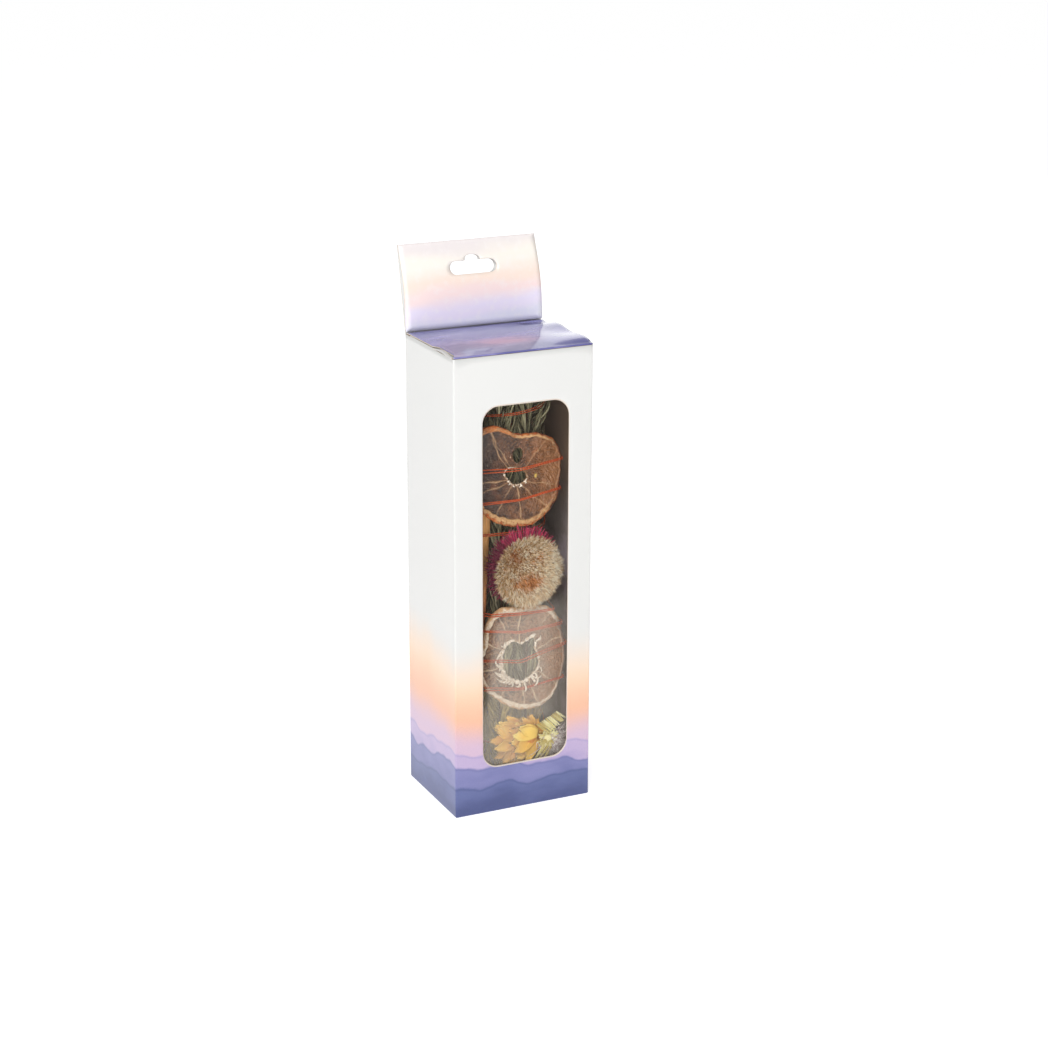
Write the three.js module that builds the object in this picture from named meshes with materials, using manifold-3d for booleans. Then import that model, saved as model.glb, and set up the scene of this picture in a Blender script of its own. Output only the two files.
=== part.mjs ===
// A rosemary and palo santo smudge stick in its windowed hanging carton.
// Millimetres, +Z up. The origin is the middle of the carton's underside, and the window faces -Y.

import * as THREE from 'three';
import { mergeVertices } from 'three/addons/utils/BufferGeometryUtils.js';
import Module from 'manifold-3d';

const wasm = await Module();
wasm.setup();

// Clearances
const GAP = 0.3;
const EXTRA_CUT = 5;

// Carton
const CARTON = { width: 75, depth: 60, height: 240, board: 0.6 };
const WALL_TOP = CARTON.height - 1;
const INNER_X = CARTON.width / 2 - CARTON.board;
const INNER_Y = CARTON.depth / 2 - CARTON.board;
const WINDOW = { left: -22.2, right: 24.4, bottom: 25, top: 213.5, corner: 8.5 };
const FILM = { thickness: 0.4, margin: 6 };
const LID = { side: 0.3, rear: 28.2, bow: 2.2, bowLean: 0.55, bowSteps: 8 };
const HINGE = { y: -CARTON.depth / 2 + GAP, z: CARTON.height - CARTON.board };
const TONGUE = { halfWidth: 34, drop: 14, lean: 8, corner: 9, top: 27.8, gap: 0.4 };
const FLAP = { reach: 26, front: -27.5, rear: 24, rearTaper: 3, taper: 24 };
const TAB = {
  length: 43, lean: 12.5, foot: 0.3, foldStart: 0.6, frontFoot: 1.2,
  splay: 2.6, splayEase: 1.2, footGap: 0.5, leastGap: 0.12, bowSteps: 6,
};
const SLOT = { centre: 1.3, width: 25.4, low: 25.6, high: 32.3, humpWidth: 8.3, humpTop: 35.2 };

// Rosemary bundle: six sprigs round a seventh
const BUNDLE = { x: 3, y: 3.5, pitch: 13.2, turn: 8, foot: 1 };
const SPRIG = {
  cell: 6.35, stem: 1.25, stemTaper: 0.6, sides: 5, stemShort: 14, firstLayer: 8, layer: 6.4, layerTurn: 78,
  sparseLayers: 3, bare: 6, needles: 2, tuft: 5, tuftDrop: 3.5, tuftStep: 0.3,
};
const NEEDLE = { shortest: 14, longest: 20, width: 2.0, thickness: 1.0, waist: 0.4, bend: 0.74, stray: 0.2 };
const SPRIG_TOPS = [229, 224, 231, 219, 227, 222, 230];

// Palo santo splint, leaning a little to the right
const PALO = {
  foot: 84, top: 186, width: 10.5, front: -14.6, back: -6.4, rightFoot: -14.3, rightTop: -9.2,
  wave: 0.35, waves: 9, steps: 8,
};

// Dried orange slices: radii every 30 degrees from the right-hand side, anticlockwise
const RIND = { thickness: 3.0, width: 3.2, shoulder: 0.5 };
const FLESH = { thickness: 1.6, membrane: 0.5, segments: 10 };
const CURL = { from: 14, to: 27 };
const SLICE_Y = -18.0;
const SLICE_COLUMNS = 40;
const UPPER_SLICE = {
  x: 0.5, z: 172, sideBend: 0.0026, curl: 2.4,
  radii: [24.8, 26.6, 25.4, 22.8, 29.5, 28.0, 25.5, 25.4, 25.3, 25.3, 25.6, 26.0],
  hole: 4.2, holeWave: 0.9, holePoints: 5, secondHole: { x: -0.2, z: 12.4, width: 3.6, height: 6.4 },
};
const LOWER_SLICE = {
  x: 4.5, z: 76, sideBend: 0.0026, curl: 1.6,
  radii: [22.4, 24.8, 28.4, 27.4, 30.8, 26.2, 23.5, 24.0, 26.6, 29.4, 29.4, 27.0],
  hole: 10.2, holeWave: 2.2, holePoints: 7, secondHole: null,
};

// Everlasting gone over to fluff, with its magenta bracts behind. Its bracts reach furthest at the
// top and left, and the headroom is what the slice above leaves them.
const EVERLASTING = {
  x: 6.2, z: 124, back: -18.2, receptacle: 10, thickness: 2.6,
  reach: 15.2, reachUp: 3.6, reachLeft: 3.4, headroom: 19.0,
};
const BRACT = { waist: 0.62, thickness: 0.8 };
const BRACT_ROWS = [
  { count: 20, root: 8, tip: 1.0, base: 0.4, rise: 0.5, width: 4.4, phase: 0 },
  { count: 18, root: 8, tip: 0.86, base: 1.4, rise: 1.2, width: 4.2, phase: 0.5 },
];
const PAPPUS = {
  back: -21.9, core: 15.8, coreHeight: 4.4, coreEdge: 0.8, bristles: 110, radius: 19.4, height: 6.0,
  lowest: 0.5, flatness: 0.8, width: 1.7, rootSpread: 0.76, rootHeight: 0.5,
};

// Yellow everlasting at the foot: golden bracts held down by the slice above, and the pale inner
// bracts to the right of its middle
const YELLOW = { x: 7.5, z: 32.5, back: -18.2, receptacle: 7, thickness: 6, root: 5, headroom: 13.6 };
const GOLDEN_ROWS = [
  { count: 11, reach: 17.5, base: 0.4, rise: 1.4, width: 8.2, phase: 0.1 },
  { count: 10, reach: 15.4, base: 2.4, rise: 1.6, width: 7.6, phase: 0.5 },
  { count: 9, reach: 13.2, base: 4.4, rise: 1.8, width: 6.8, phase: 0.2 },
];
const PALE = {
  x: 8.5, z: 0.5, count: 14, root: 2, reach: 10.5, base: 0.1, rise: 1.2, width: 2.3,
  disc: 3.2, discHeight: 1.4, height: 7.3,
};
const SEAT = { margin: 1, depth: 10 };

// Binding thread: heights of each turn at the left, middle and right of the front, where the left and
// right lie a share of a turn from the middle
const THREAD = {
  radius: 0.7, sides: 4, samples: 90, straightness: 0.3, clearance: 0.6, knot: 1.7, side: 0.16, end: 0.5,
  directions: 120, leastFacing: 0.05,
};
const TURNS = [
  [31.0, 30.0, 33.0], [61.5, 58.5, 62.7], [79.6, 75.2, 81.7], [95.6, 91.1, 92.6], [104.5, 102.3, 102.3],
  [145.8, 144.9, 145.2], [161.4, 161.3, 165.0], [178.4, 177.0, 180.1], [206.4, 206.1, 208.3],
];

const COLOURS = {
  board: { color: 0xf0f0f2, roughness: 0.45 },
  print: { color: 0x8a88b8, roughness: 0.3 },
  film: { color: 0xe8eef2, roughness: 0.08, transparent: true, opacity: 0.3 },
  rosemary: { color: 0x7d7f5e, roughness: 0.8 },
  palo: { color: 0xb9783c, roughness: 0.7 },
  orange: { color: 0x8a5a3c, roughness: 0.6 },
  magenta: { color: 0x8e2350, roughness: 0.6 },
  fluff: { color: 0xcdb694, roughness: 0.9 },
  golden: { color: 0xe8a53a, roughness: 0.6 },
  pale: { color: 0xe9dc9a, roughness: 0.7 },
  thread: { color: 0xd9562b, roughness: 0.6 },
};

const radians = THREE.MathUtils.degToRad;
const smooth = (x, low, high) => THREE.MathUtils.smoothstep(x, low, high);

// Seeded random numbers from 0 to 1
function randomSource(seed) {
  let state = seed;
  return () => {
    state = (state + 0x6d2b79f5) | 0;
    let t = Math.imul(state ^ (state >>> 15), 1 | state);
    t = (t + Math.imul(t ^ (t >>> 7), 61 | t)) ^ t;
    return ((t ^ (t >>> 14)) >>> 0) / 4294967296;
  };
}

function toSolid(geometry) {
  const plain = geometry.clone();
  plain.deleteAttribute('normal');
  plain.deleteAttribute('uv');
  const merged = mergeVertices(plain, 1e-4);
  const vertProperties = Float32Array.from(merged.attributes.position.array);
  const triVerts = Uint32Array.from(merged.index.array);
  return new wasm.Manifold(new wasm.Mesh({ numProp: 3, vertProperties, triVerts }));
}

function toGeometry(solid) {
  const mesh = solid.getMesh();
  const geometry = new THREE.BufferGeometry();
  const positions = new Float32Array(mesh.vertProperties);
  geometry.setAttribute('position', new THREE.BufferAttribute(positions, 3));
  geometry.setIndex(new THREE.BufferAttribute(new Uint32Array(mesh.triVerts), 1));
  return geometry;
}

function unite(geometries) {
  return geometries.map(toSolid).reduce((whole, piece) => whole.add(piece));
}

// Keeps the largest of the bodies that a cut has left
function largest(solid) {
  const bodies = solid.decompose();
  return bodies.reduce((a, b) => (a.volume() > b.volume() ? a : b));
}

function signedVolume(points, index) {
  let volume = 0;
  for (let i = 0; i < index.length; i += 3) {
    const [a, b, c] = [points[index[i]], points[index[i + 1]], points[index[i + 2]]];
    volume += a.dot(b.clone().cross(c)) / 6;
  }
  return volume;
}

// Joins closed rings of points into one skin. A looped loft joins its last ring to its first,
// and any other is closed by a fan at each end.
function loft(rings, looped = false) {
  const count = rings[0].length;
  const points = rings.flat().map((p) => p.clone());
  const index = [];
  const spans = looped ? rings.length : rings.length - 1;
  for (let i = 0; i < spans; i += 1) {
    const next = (i + 1) % rings.length;
    for (let j = 0; j < count; j += 1) {
      const a = i * count + j;
      const b = i * count + ((j + 1) % count);
      const c = next * count + ((j + 1) % count);
      const d = next * count + j;
      index.push(a, b, c, a, c, d);
    }
  }
  if (!looped) {
    const last = (rings.length - 1) * count;
    for (let j = 1; j < count - 1; j += 1) {
      index.push(0, j + 1, j);
      index.push(last, last + j, last + j + 1);
    }
  }
  if (signedVolume(points, index) < 0) index.reverse();
  const geometry = new THREE.BufferGeometry().setFromPoints(points);
  geometry.setIndex(index);
  return geometry;
}

// The least solid form with a body: a point, a ring of three and a point
function spindle(foot, ring, tip) {
  const points = [foot, ...ring, tip].map((p) => p.clone());
  const index = [0, 2, 1, 0, 3, 2, 0, 1, 3, 4, 1, 2, 4, 2, 3, 4, 3, 1];
  if (signedVolume(points, index) < 0) index.reverse();
  const geometry = new THREE.BufferGeometry().setFromPoints(points);
  geometry.setIndex(index);
  return geometry;
}

function mesh(name, source, colour) {
  const geometry = source.isBufferGeometry ? source : toGeometry(source);
  const node = new THREE.Mesh(geometry, new THREE.MeshStandardMaterial({ metalness: 0, ...colour }));
  node.name = name;
  return node;
}

function box(x0, x1, y0, y1, z0, z1) {
  return new THREE.BoxGeometry(x1 - x0, y1 - y0, z1 - z0)
    .translate((x0 + x1) / 2, (y0 + y1) / 2, (z0 + z1) / 2);
}

// A flat outline drawn in X and Z, given a thickness from y0 to y1
function upright(shape, y0, y1, curveSegments = 5) {
  return new THREE.ExtrudeGeometry(shape, { depth: y1 - y0, bevelEnabled: false, curveSegments })
    .rotateX(Math.PI / 2)
    .translate(0, y1, 0);
}

// An outline drawn in Y and Z, drawn out across the carton's width
function across(points, halfWidth) {
  const shape = new THREE.Shape(points.map(([y, z]) => new THREE.Vector2(y, z)));
  return new THREE.ExtrudeGeometry(shape, { depth: 2 * halfWidth, bevelEnabled: false })
    .applyMatrix4(new THREE.Matrix4().makeBasis(
      new THREE.Vector3(0, 1, 0), new THREE.Vector3(0, 0, 1), new THREE.Vector3(1, 0, 0)))
    .translate(-halfWidth, 0, 0);
}

function roundedRectangle(x0, x1, z0, z1, r) {
  const shape = new THREE.Shape();
  shape.moveTo(x0 + r, z0);
  shape.lineTo(x1 - r, z0);
  shape.absarc(x1 - r, z0 + r, r, -Math.PI / 2, 0);
  shape.lineTo(x1, z1 - r);
  shape.absarc(x1 - r, z1 - r, r, 0, Math.PI / 2);
  shape.lineTo(x0 + r, z1);
  shape.absarc(x0 + r, z1 - r, r, Math.PI / 2, Math.PI);
  shape.lineTo(x0, z0 + r);
  shape.absarc(x0 + r, z0 + r, r, Math.PI, 1.5 * Math.PI);
  return shape;
}

// Carton: four walls and the base, folded from one sheet, with the window cut in the front
function cartonBody() {
  const halfX = CARTON.width / 2;
  const halfY = CARTON.depth / 2;
  const outside = toSolid(box(-halfX, halfX, -halfY, halfY, 0, WALL_TOP));
  const inside = toSolid(box(-INNER_X, INNER_X, -INNER_Y, INNER_Y, CARTON.board, WALL_TOP + EXTRA_CUT));
  const outline = roundedRectangle(WINDOW.left, WINDOW.right, WINDOW.bottom, WINDOW.top, WINDOW.corner);
  const window = toSolid(upright(outline, -halfY - EXTRA_CUT, -INNER_Y + EXTRA_CUT));
  return outside.subtract(inside).subtract(window);
}

function windowFilm() {
  const front = -INNER_Y + GAP;
  return box(WINDOW.left - FILM.margin, WINDOW.right + FILM.margin, front, front + FILM.thickness,
    WINDOW.bottom - FILM.margin, WINDOW.top + FILM.margin);
}

// Lid: bows up behind its front crease
function lidPanel() {
  const front = HINGE.y;
  const bowAt = (t) => LID.bow * Math.sin(Math.PI * t) * (1 - LID.bowLean * t);
  const upper = [];
  const lower = [];
  for (let i = 0; i <= LID.bowSteps; i += 1) {
    const t = i / LID.bowSteps;
    const y = THREE.MathUtils.lerp(front, LID.rear, t);
    upper.push([y, HINGE.z + CARTON.board + bowAt(t)]);
    lower.push([y, HINGE.z + bowAt(t)]);
  }
  return across([...lower, ...upper.reverse()], CARTON.width / 2 - LID.side);
}

// Tongue: hangs from the lid's rear edge, leaning in, with its lower corners rounded
function tuckTongue() {
  const shape = new THREE.Shape();
  shape.moveTo(-TONGUE.halfWidth, 0);
  shape.lineTo(-TONGUE.halfWidth, -TONGUE.drop + TONGUE.corner);
  shape.absarc(-TONGUE.halfWidth + TONGUE.corner, -TONGUE.drop + TONGUE.corner, TONGUE.corner,
    Math.PI, 1.5 * Math.PI);
  shape.lineTo(TONGUE.halfWidth - TONGUE.corner, -TONGUE.drop);
  shape.absarc(TONGUE.halfWidth - TONGUE.corner, -TONGUE.drop + TONGUE.corner, TONGUE.corner,
    -Math.PI / 2, 0);
  shape.lineTo(TONGUE.halfWidth, 0);
  const tongue = upright(shape, -CARTON.board, 0);
  const node = mesh('tuck_tongue', tongue, COLOURS.print);
  node.rotation.x = -radians(TONGUE.lean);
  node.position.set(0, TONGUE.top, HINGE.z - TONGUE.gap);
  return node;
}

// Dust flap: a tapered leaf inside each side wall's top edge, under the lid
function dustFlap(side) {
  const root = INNER_X - GAP;
  const shape = new THREE.Shape([
    [root, FLAP.front], [root - FLAP.reach, FLAP.front + FLAP.taper],
    [root - FLAP.reach, FLAP.rear - FLAP.rearTaper], [root, FLAP.rear],
  ].map(([x, y]) => new THREE.Vector2(side * x, y)));
  return new THREE.ExtrudeGeometry(shape, { depth: CARTON.board, bevelEnabled: false })
    .translate(0, 0, WALL_TOP - CARTON.board);
}

// Outline of the peg slot: a bar with round ends and a hump, measured up the tab from its foot
function slotShape() {
  const r = (SLOT.high - SLOT.low) / 2;
  const left = SLOT.centre - SLOT.width / 2 + r;
  const right = SLOT.centre + SLOT.width / 2 - r;
  const hump = SLOT.humpWidth / 2;
  const shape = new THREE.Shape();
  shape.moveTo(left, SLOT.low);
  shape.lineTo(right, SLOT.low);
  shape.absarc(right, SLOT.low + r, r, -Math.PI / 2, Math.PI / 2);
  shape.lineTo(SLOT.centre + hump, SLOT.high);
  shape.quadraticCurveTo(SLOT.centre + hump, SLOT.humpTop, SLOT.centre, SLOT.humpTop);
  shape.quadraticCurveTo(SLOT.centre - hump, SLOT.humpTop, SLOT.centre - hump, SLOT.high);
  shape.lineTo(left, SLOT.high);
  shape.absarc(left, SLOT.low + r, r, Math.PI / 2, 1.5 * Math.PI);
  return shape;
}

// Hang tab: the back wall's sheet carried up, folded over at the top and brought down in front,
// where it stands a little proud in the middle
function hangTab() {
  const t = CARTON.board;
  const fold = TAB.length - TAB.foldStart;
  const gapAt = (u) => {
    const s = u / TAB.length;
    const splay = TAB.splay * Math.sin(Math.PI * s) ** TAB.splayEase;
    return Math.max(TAB.leastGap, TAB.footGap * (1 - s) + splay);
  };
  const rearFoot = [[0, 0], [t, 0]];
  const innerUp = [];
  const frontDown = [];
  for (let i = 0; i <= TAB.bowSteps; i += 1) {
    const u = THREE.MathUtils.lerp(TAB.frontFoot, fold, i / TAB.bowSteps);
    innerUp.push([t + gapAt(u), u]);
    frontDown.push([2 * t + gapAt(u), u]);
  }
  const outline = [...rearFoot, [t, fold], ...innerUp.slice(0, -1).reverse(), ...frontDown,
    [t, TAB.length], [0, TAB.length]];
  const profile = across(outline.map(([v, u]) => [-v, u]), CARTON.width / 2);
  const slot = upright(slotShape(), -EXTRA_CUT * 2, EXTRA_CUT, 6);
  const node = mesh('hang_tab', toSolid(profile).subtract(toSolid(slot)), COLOURS.board);
  node.rotation.x = -radians(TAB.lean);
  node.position.set(0, CARTON.depth / 2, CARTON.height + TAB.foot);
  return node;
}

// One needle, three-sided and spindle-shaped: it leaves the stem's axis outwards and turns up
function needle(z, azimuth, reach, length) {
  const out = new THREE.Vector3(Math.cos(azimuth), Math.sin(azimuth), 0);
  const sideways = new THREE.Vector3(-Math.sin(azimuth), Math.cos(azimuth), 0);
  const at = (r, t) => out.clone().multiplyScalar(r).setZ(z + t * length);
  const waist = at(reach * NEEDLE.bend, NEEDLE.waist);
  const ring = [
    waist.clone().addScaledVector(sideways, NEEDLE.width / 2),
    waist.clone().addScaledVector(sideways, -NEEDLE.width / 2),
    waist.clone().addScaledVector(out, NEEDLE.thickness),
  ];
  return spindle(at(0, 0), ring, at(reach, 1));
}

// A sprig: a woody stem with pairs of needles all the way up, in a cell of its own
function sprig(number, top, sparse) {
  const random = randomSource(101 + number);
  const between = (low, high) => THREE.MathUtils.lerp(low, high, random());
  const stray = () => between(-NEEDLE.stray / 2, NEEDLE.stray / 2);
  const stemTop = top - SPRIG.stemShort;
  const stem = new THREE.CylinderGeometry(
    SPRIG.stem * SPRIG.stemTaper, SPRIG.stem, stemTop - BUNDLE.foot, SPRIG.sides)
    .rotateX(Math.PI / 2)
    .translate(0, 0, (stemTop + BUNDLE.foot) / 2);
  const pieces = [stem];
  let azimuth = between(0, Math.PI);
  const step = sparse ? SPRIG.layer * SPRIG.sparseLayers : SPRIG.layer;
  const reach = SPRIG.cell - NEEDLE.thickness;
  for (let z = SPRIG.firstLayer; z < stemTop - SPRIG.bare; z += step) {
    azimuth += radians(SPRIG.layerTurn) + stray();
    for (let i = 0; i < SPRIG.needles; i += 1) {
      const length = between(NEEDLE.shortest, NEEDLE.longest);
      const turn = azimuth + (i * 2 * Math.PI) / SPRIG.needles + stray();
      pieces.push(needle(z + between(0, 2.5), turn, reach * between(0.84, 1), length));
    }
  }
  for (let i = 0; i < SPRIG.tuft; i += 1) {
    const turn = (i * 2 * Math.PI) / SPRIG.tuft + stray();
    const z = stemTop - SPRIG.tuftDrop + SPRIG.tuftStep * i;
    pieces.push(needle(z, turn, reach * between(0.25, 0.6), NEEDLE.shortest));
  }
  return unite(pieces);
}

function rosemary() {
  const group = new THREE.Group();
  SPRIG_TOPS.forEach((top, i) => {
    const central = i === SPRIG_TOPS.length - 1;
    const node = mesh(`rosemary_sprig_${i + 1}`, sprig(i, top, central), COLOURS.rosemary);
    if (!central) {
      const angle = radians(BUNDLE.turn + i * 60);
      node.position.set(BUNDLE.pitch * Math.cos(angle), BUNDLE.pitch * Math.sin(angle), 0);
    }
    group.add(node);
  });
  group.position.set(BUNDLE.x, BUNDLE.y, 0);
  return group;
}

// Palo santo: a split and hand-trimmed stick, six-sided, its faces a little uneven
function paloSection(z) {
  const t = (z - PALO.foot) / (PALO.top - PALO.foot);
  const right = THREE.MathUtils.lerp(PALO.rightFoot, PALO.rightTop, t);
  const wave = PALO.wave * Math.sin(t * PALO.waves);
  const left = right - PALO.width + wave;
  return [
    [right, PALO.front + 1.4], [right - 1.6, PALO.front + 0.2 + wave * 0.3], [left + 2.4, PALO.front + 0.3],
    [left, PALO.front + 3.0], [left + 0.8, PALO.back - 0.6], [right - 0.5, PALO.back - wave],
  ];
}

function paloSanto() {
  const rings = [];
  for (let i = 0; i <= PALO.steps; i += 1) {
    const z = THREE.MathUtils.lerp(PALO.foot, PALO.top, i / PALO.steps);
    rings.push(paloSection(z).map(([x, y]) => new THREE.Vector3(x, y, z)));
  }
  return loft(rings);
}

// Radius of a slice's outline at an angle, smoothly between the radii of its list
function sliceRadius(slice, angle) {
  const count = slice.radii.length;
  const place = (((angle / (2 * Math.PI)) % 1) + 1) % 1 * count;
  const i = Math.floor(place);
  const t = place - i;
  const [p, q, r, s] = [-1, 0, 1, 2].map((k) => slice.radii[(i + k + count) % count]);
  return 0.5 * (2 * q + (r - p) * t + (2 * p - 5 * q + 4 * r - s) * t * t + (3 * q - 3 * r + s - p) * t ** 3);
}

// How far a slice's middle surface stands forward of its plane, its sides bent back round the
// bundle and its top curled forward
function sliceForward(slice, x, up) {
  return -slice.sideBend * x * x + slice.curl * smooth(up, CURL.from, CURL.to);
}

// A slice in its own plane: x to the right, y up, z forward
function orangeSlice(slice) {
  const rings = [];
  for (let k = 0; k < SLICE_COLUMNS; k += 1) {
    const angle = (k / SLICE_COLUMNS) * 2 * Math.PI;
    const outer = sliceRadius(slice, angle);
    const inner = slice.hole + slice.holeWave * Math.cos(slice.holePoints * angle);
    const fleshEnd = outer - RIND.width;
    const onMembrane = k % (SLICE_COLUMNS / FLESH.segments) === 0;
    const flesh = FLESH.thickness / 2 + (onMembrane ? FLESH.membrane : 0);
    const profile = [[inner, flesh], [(inner + fleshEnd) / 2, flesh], [fleshEnd, flesh]];
    profile.push([fleshEnd + RIND.shoulder, RIND.thickness / 2], [outer, RIND.thickness / 3]);
    const both = [...profile, ...profile.map(([r, h]) => [r, -h]).reverse()];
    rings.push(both.map(([r, h]) => {
      const x = r * Math.cos(angle);
      const y = r * Math.sin(angle);
      return new THREE.Vector3(x, y, sliceForward(slice, x, y) + h);
    }));
  }
  const ring = loft(rings, true);
  if (!slice.secondHole) return ring;
  const hole = new THREE.CylinderGeometry(0.5, 0.5, 4 * EXTRA_CUT, 8)
    .rotateX(Math.PI / 2)
    .scale(slice.secondHole.width, slice.secondHole.height, 1)
    .translate(slice.secondHole.x, slice.secondHole.z, 0);
  return toGeometry(toSolid(ring).subtract(toSolid(hole)));
}

// Turns a flat form that faces up to face the window, and sets it in its place
function faceWindow(node, x, y, z) {
  node.rotation.x = Math.PI / 2;
  node.position.set(x, y, z);
  return node;
}

// One bract: a thin arched blade, three-sided, widest past its middle
function bract(angle, root, reach, base, rise, width) {
  const out = new THREE.Vector3(Math.cos(angle), Math.sin(angle), 0);
  const sideways = new THREE.Vector3(-Math.sin(angle), Math.cos(angle), 0);
  const at = (t) => out.clone().multiplyScalar(THREE.MathUtils.lerp(root, reach, t))
    .setZ(base + rise * t * t);
  const waist = at(BRACT.waist);
  const ring = [
    waist.clone().addScaledVector(sideways, width / 2), waist.clone().addScaledVector(sideways, -width / 2),
    waist.clone().setZ(waist.z + BRACT.thickness),
  ];
  return spindle(at(0), ring, at(1));
}

// A round disc that faces up, wider at its upper face by the flare
function disc(radius, flare, height, sides) {
  return new THREE.CylinderGeometry(radius, radius - flare, height, sides)
    .rotateX(Math.PI / 2)
    .translate(0, 0, height / 2);
}

// Cuts bracts away above a height, round where another piece sits in them
function cutSeat(whole, radius, x, y, height) {
  const seat = disc(radius + SEAT.margin, 0, SEAT.depth, 24).translate(x, y, height - GAP);
  return largest(whole.subtract(toSolid(seat)));
}

// How far a bract may reach in a direction before it meets what lies above the flower
function underHeadroom(flower, angle) {
  return flower.headroom / Math.max(0.2, Math.sin(angle));
}

// How far the magenta bracts reach: full at the top and left, held short by the slice below
function everlastingReach(angle) {
  const up = Math.sin(angle);
  const left = -Math.cos(angle);
  return EVERLASTING.reach + EVERLASTING.reachUp * smooth(up, -0.5, 0.5)
    + EVERLASTING.reachLeft * smooth(left, -0.2, 0.7) * smooth(up, -0.95, -0.1);
}

function everlastingBracts() {
  const pieces = [disc(EVERLASTING.receptacle, 2, EVERLASTING.thickness, 14)];
  for (const row of BRACT_ROWS) {
    for (let i = 0; i < row.count; i += 1) {
      const angle = ((i + row.phase) / row.count) * 2 * Math.PI;
      const reach = Math.min(everlastingReach(angle) * row.tip, underHeadroom(EVERLASTING, angle));
      pieces.push(bract(angle, row.root, reach, row.base, row.rise, row.width));
    }
  }
  return cutSeat(unite(pieces), PAPPUS.radius, 0, 0, EVERLASTING.back - PAPPUS.back);
}

// Fluff: a low dome of bristles that stand out of a smaller core
function everlastingPappus() {
  const core = [];
  const steps = 5;
  for (let i = 0; i <= steps; i += 1) {
    const a = (i / steps) * (Math.PI / 2);
    core.push(new THREE.Vector2(
      PAPPUS.core * Math.cos(a), PAPPUS.coreEdge + PAPPUS.coreHeight * Math.sin(a)));
  }
  core[core.length - 1].x = 0;
  const profile = [new THREE.Vector2(0, 0), new THREE.Vector2(PAPPUS.core, 0), ...core];
  const pieces = [new THREE.LatheGeometry(profile, 18).rotateX(Math.PI / 2)];
  const goldenAngle = Math.PI * (3 - Math.sqrt(5));
  for (let i = 0; i < PAPPUS.bristles; i += 1) {
    const share = (i + 0.5) / PAPPUS.bristles;
    const angle = i * goldenAngle;
    const tilt = Math.asin(Math.sqrt(share));
    const tip = new THREE.Vector3(
      PAPPUS.radius * Math.sin(tilt) * Math.cos(angle), PAPPUS.radius * Math.sin(tilt) * Math.sin(angle),
      PAPPUS.lowest + (PAPPUS.height - PAPPUS.lowest) * Math.cos(tilt) ** PAPPUS.flatness);
    const foot = tip.clone()
      .multiply(new THREE.Vector3(PAPPUS.rootSpread, PAPPUS.rootSpread, PAPPUS.rootHeight));
    const waist = tip.clone().lerp(foot, 0.5);
    const sideways = new THREE.Vector3(-Math.sin(angle), Math.cos(angle), 0).multiplyScalar(PAPPUS.width / 2);
    const ring = [waist.clone().add(sideways), waist.clone().sub(sideways), waist.clone()];
    ring[2].z += PAPPUS.width / 2;
    pieces.push(spindle(foot, ring, tip));
  }
  return unite(pieces);
}

function yellowBracts() {
  const pieces = [disc(YELLOW.receptacle, 1.5, YELLOW.thickness, 12)];
  for (const row of GOLDEN_ROWS) {
    for (let i = 0; i < row.count; i += 1) {
      const angle = ((i + row.phase) / row.count) * 2 * Math.PI;
      const reach = Math.min(row.reach, underHeadroom(YELLOW, angle));
      pieces.push(bract(angle, YELLOW.root, reach, row.base, row.rise, row.width));
    }
  }
  return cutSeat(unite(pieces), PALE.reach, PALE.x, PALE.z, PALE.height);
}

// Pale inner bracts: a comb of narrow blades round a small disc
function yellowComb() {
  const pieces = [disc(PALE.disc, -0.6, PALE.discHeight, 10)];
  for (let i = 0; i < PALE.count; i += 1) {
    const angle = (i / PALE.count) * 2 * Math.PI;
    pieces.push(bract(angle, PALE.root, PALE.reach, PALE.base, PALE.rise, PALE.width));
  }
  return unite(pieces);
}

// Points of the section that the thread binds at one height, as [x, y]
function boundPoints(z) {
  const points = [];
  for (const slice of [UPPER_SLICE, LOWER_SLICE]) {
    let [low, high] = [Infinity, -Infinity];
    const steps = 90;
    for (let i = 0; i < steps; i += 1) {
      const [a, b] = [(i / steps) * 2 * Math.PI, ((i + 1) / steps) * 2 * Math.PI];
      const [ra, rb] = [sliceRadius(slice, a), sliceRadius(slice, b)];
      const [za, zb] = [slice.z + ra * Math.sin(a), slice.z + rb * Math.sin(b)];
      if ((za - z) * (zb - z) > 0) continue;
      const share = za === zb ? 0 : (z - za) / (zb - za);
      const x = THREE.MathUtils.lerp(ra * Math.cos(a), rb * Math.cos(b), share);
      low = Math.min(low, x);
      high = Math.max(high, x);
    }
    if (low > high) continue;
    for (let i = 0; i <= 6; i += 1) {
      const x = THREE.MathUtils.lerp(low, high, i / 6);
      const forward = sliceForward(slice, x, z - slice.z);
      points.push([slice.x + x, SLICE_Y - forward - RIND.thickness / 2]);
      points.push([slice.x + x, SLICE_Y - forward + RIND.thickness / 2]);
    }
  }
  if (z > PALO.foot && z < PALO.top) points.push(...paloSection(z));
  return points;
}

// Distance from the bundle's middle to the thread: the tightest loop round what it binds
function threadDistance(theta, z) {
  const points = [z - THREAD.radius, z, z + THREAD.radius].flatMap(boundPoints);
  const bundle = BUNDLE.pitch + SPRIG.cell;
  let distance = Infinity;
  for (let i = 0; i < THREAD.directions; i += 1) {
    const angle = (i / THREAD.directions) * 2 * Math.PI;
    const facing = Math.cos(angle - theta);
    if (facing < THREAD.leastFacing) continue;
    const [nx, ny] = [Math.cos(angle), Math.sin(angle)];
    const reach = Math.max(bundle, ...points.map(([x, y]) => (x - BUNDLE.x) * nx + (y - BUNDLE.y) * ny));
    distance = Math.min(distance, (reach + THREAD.radius + THREAD.clearance) / facing);
  }
  return distance;
}

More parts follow.
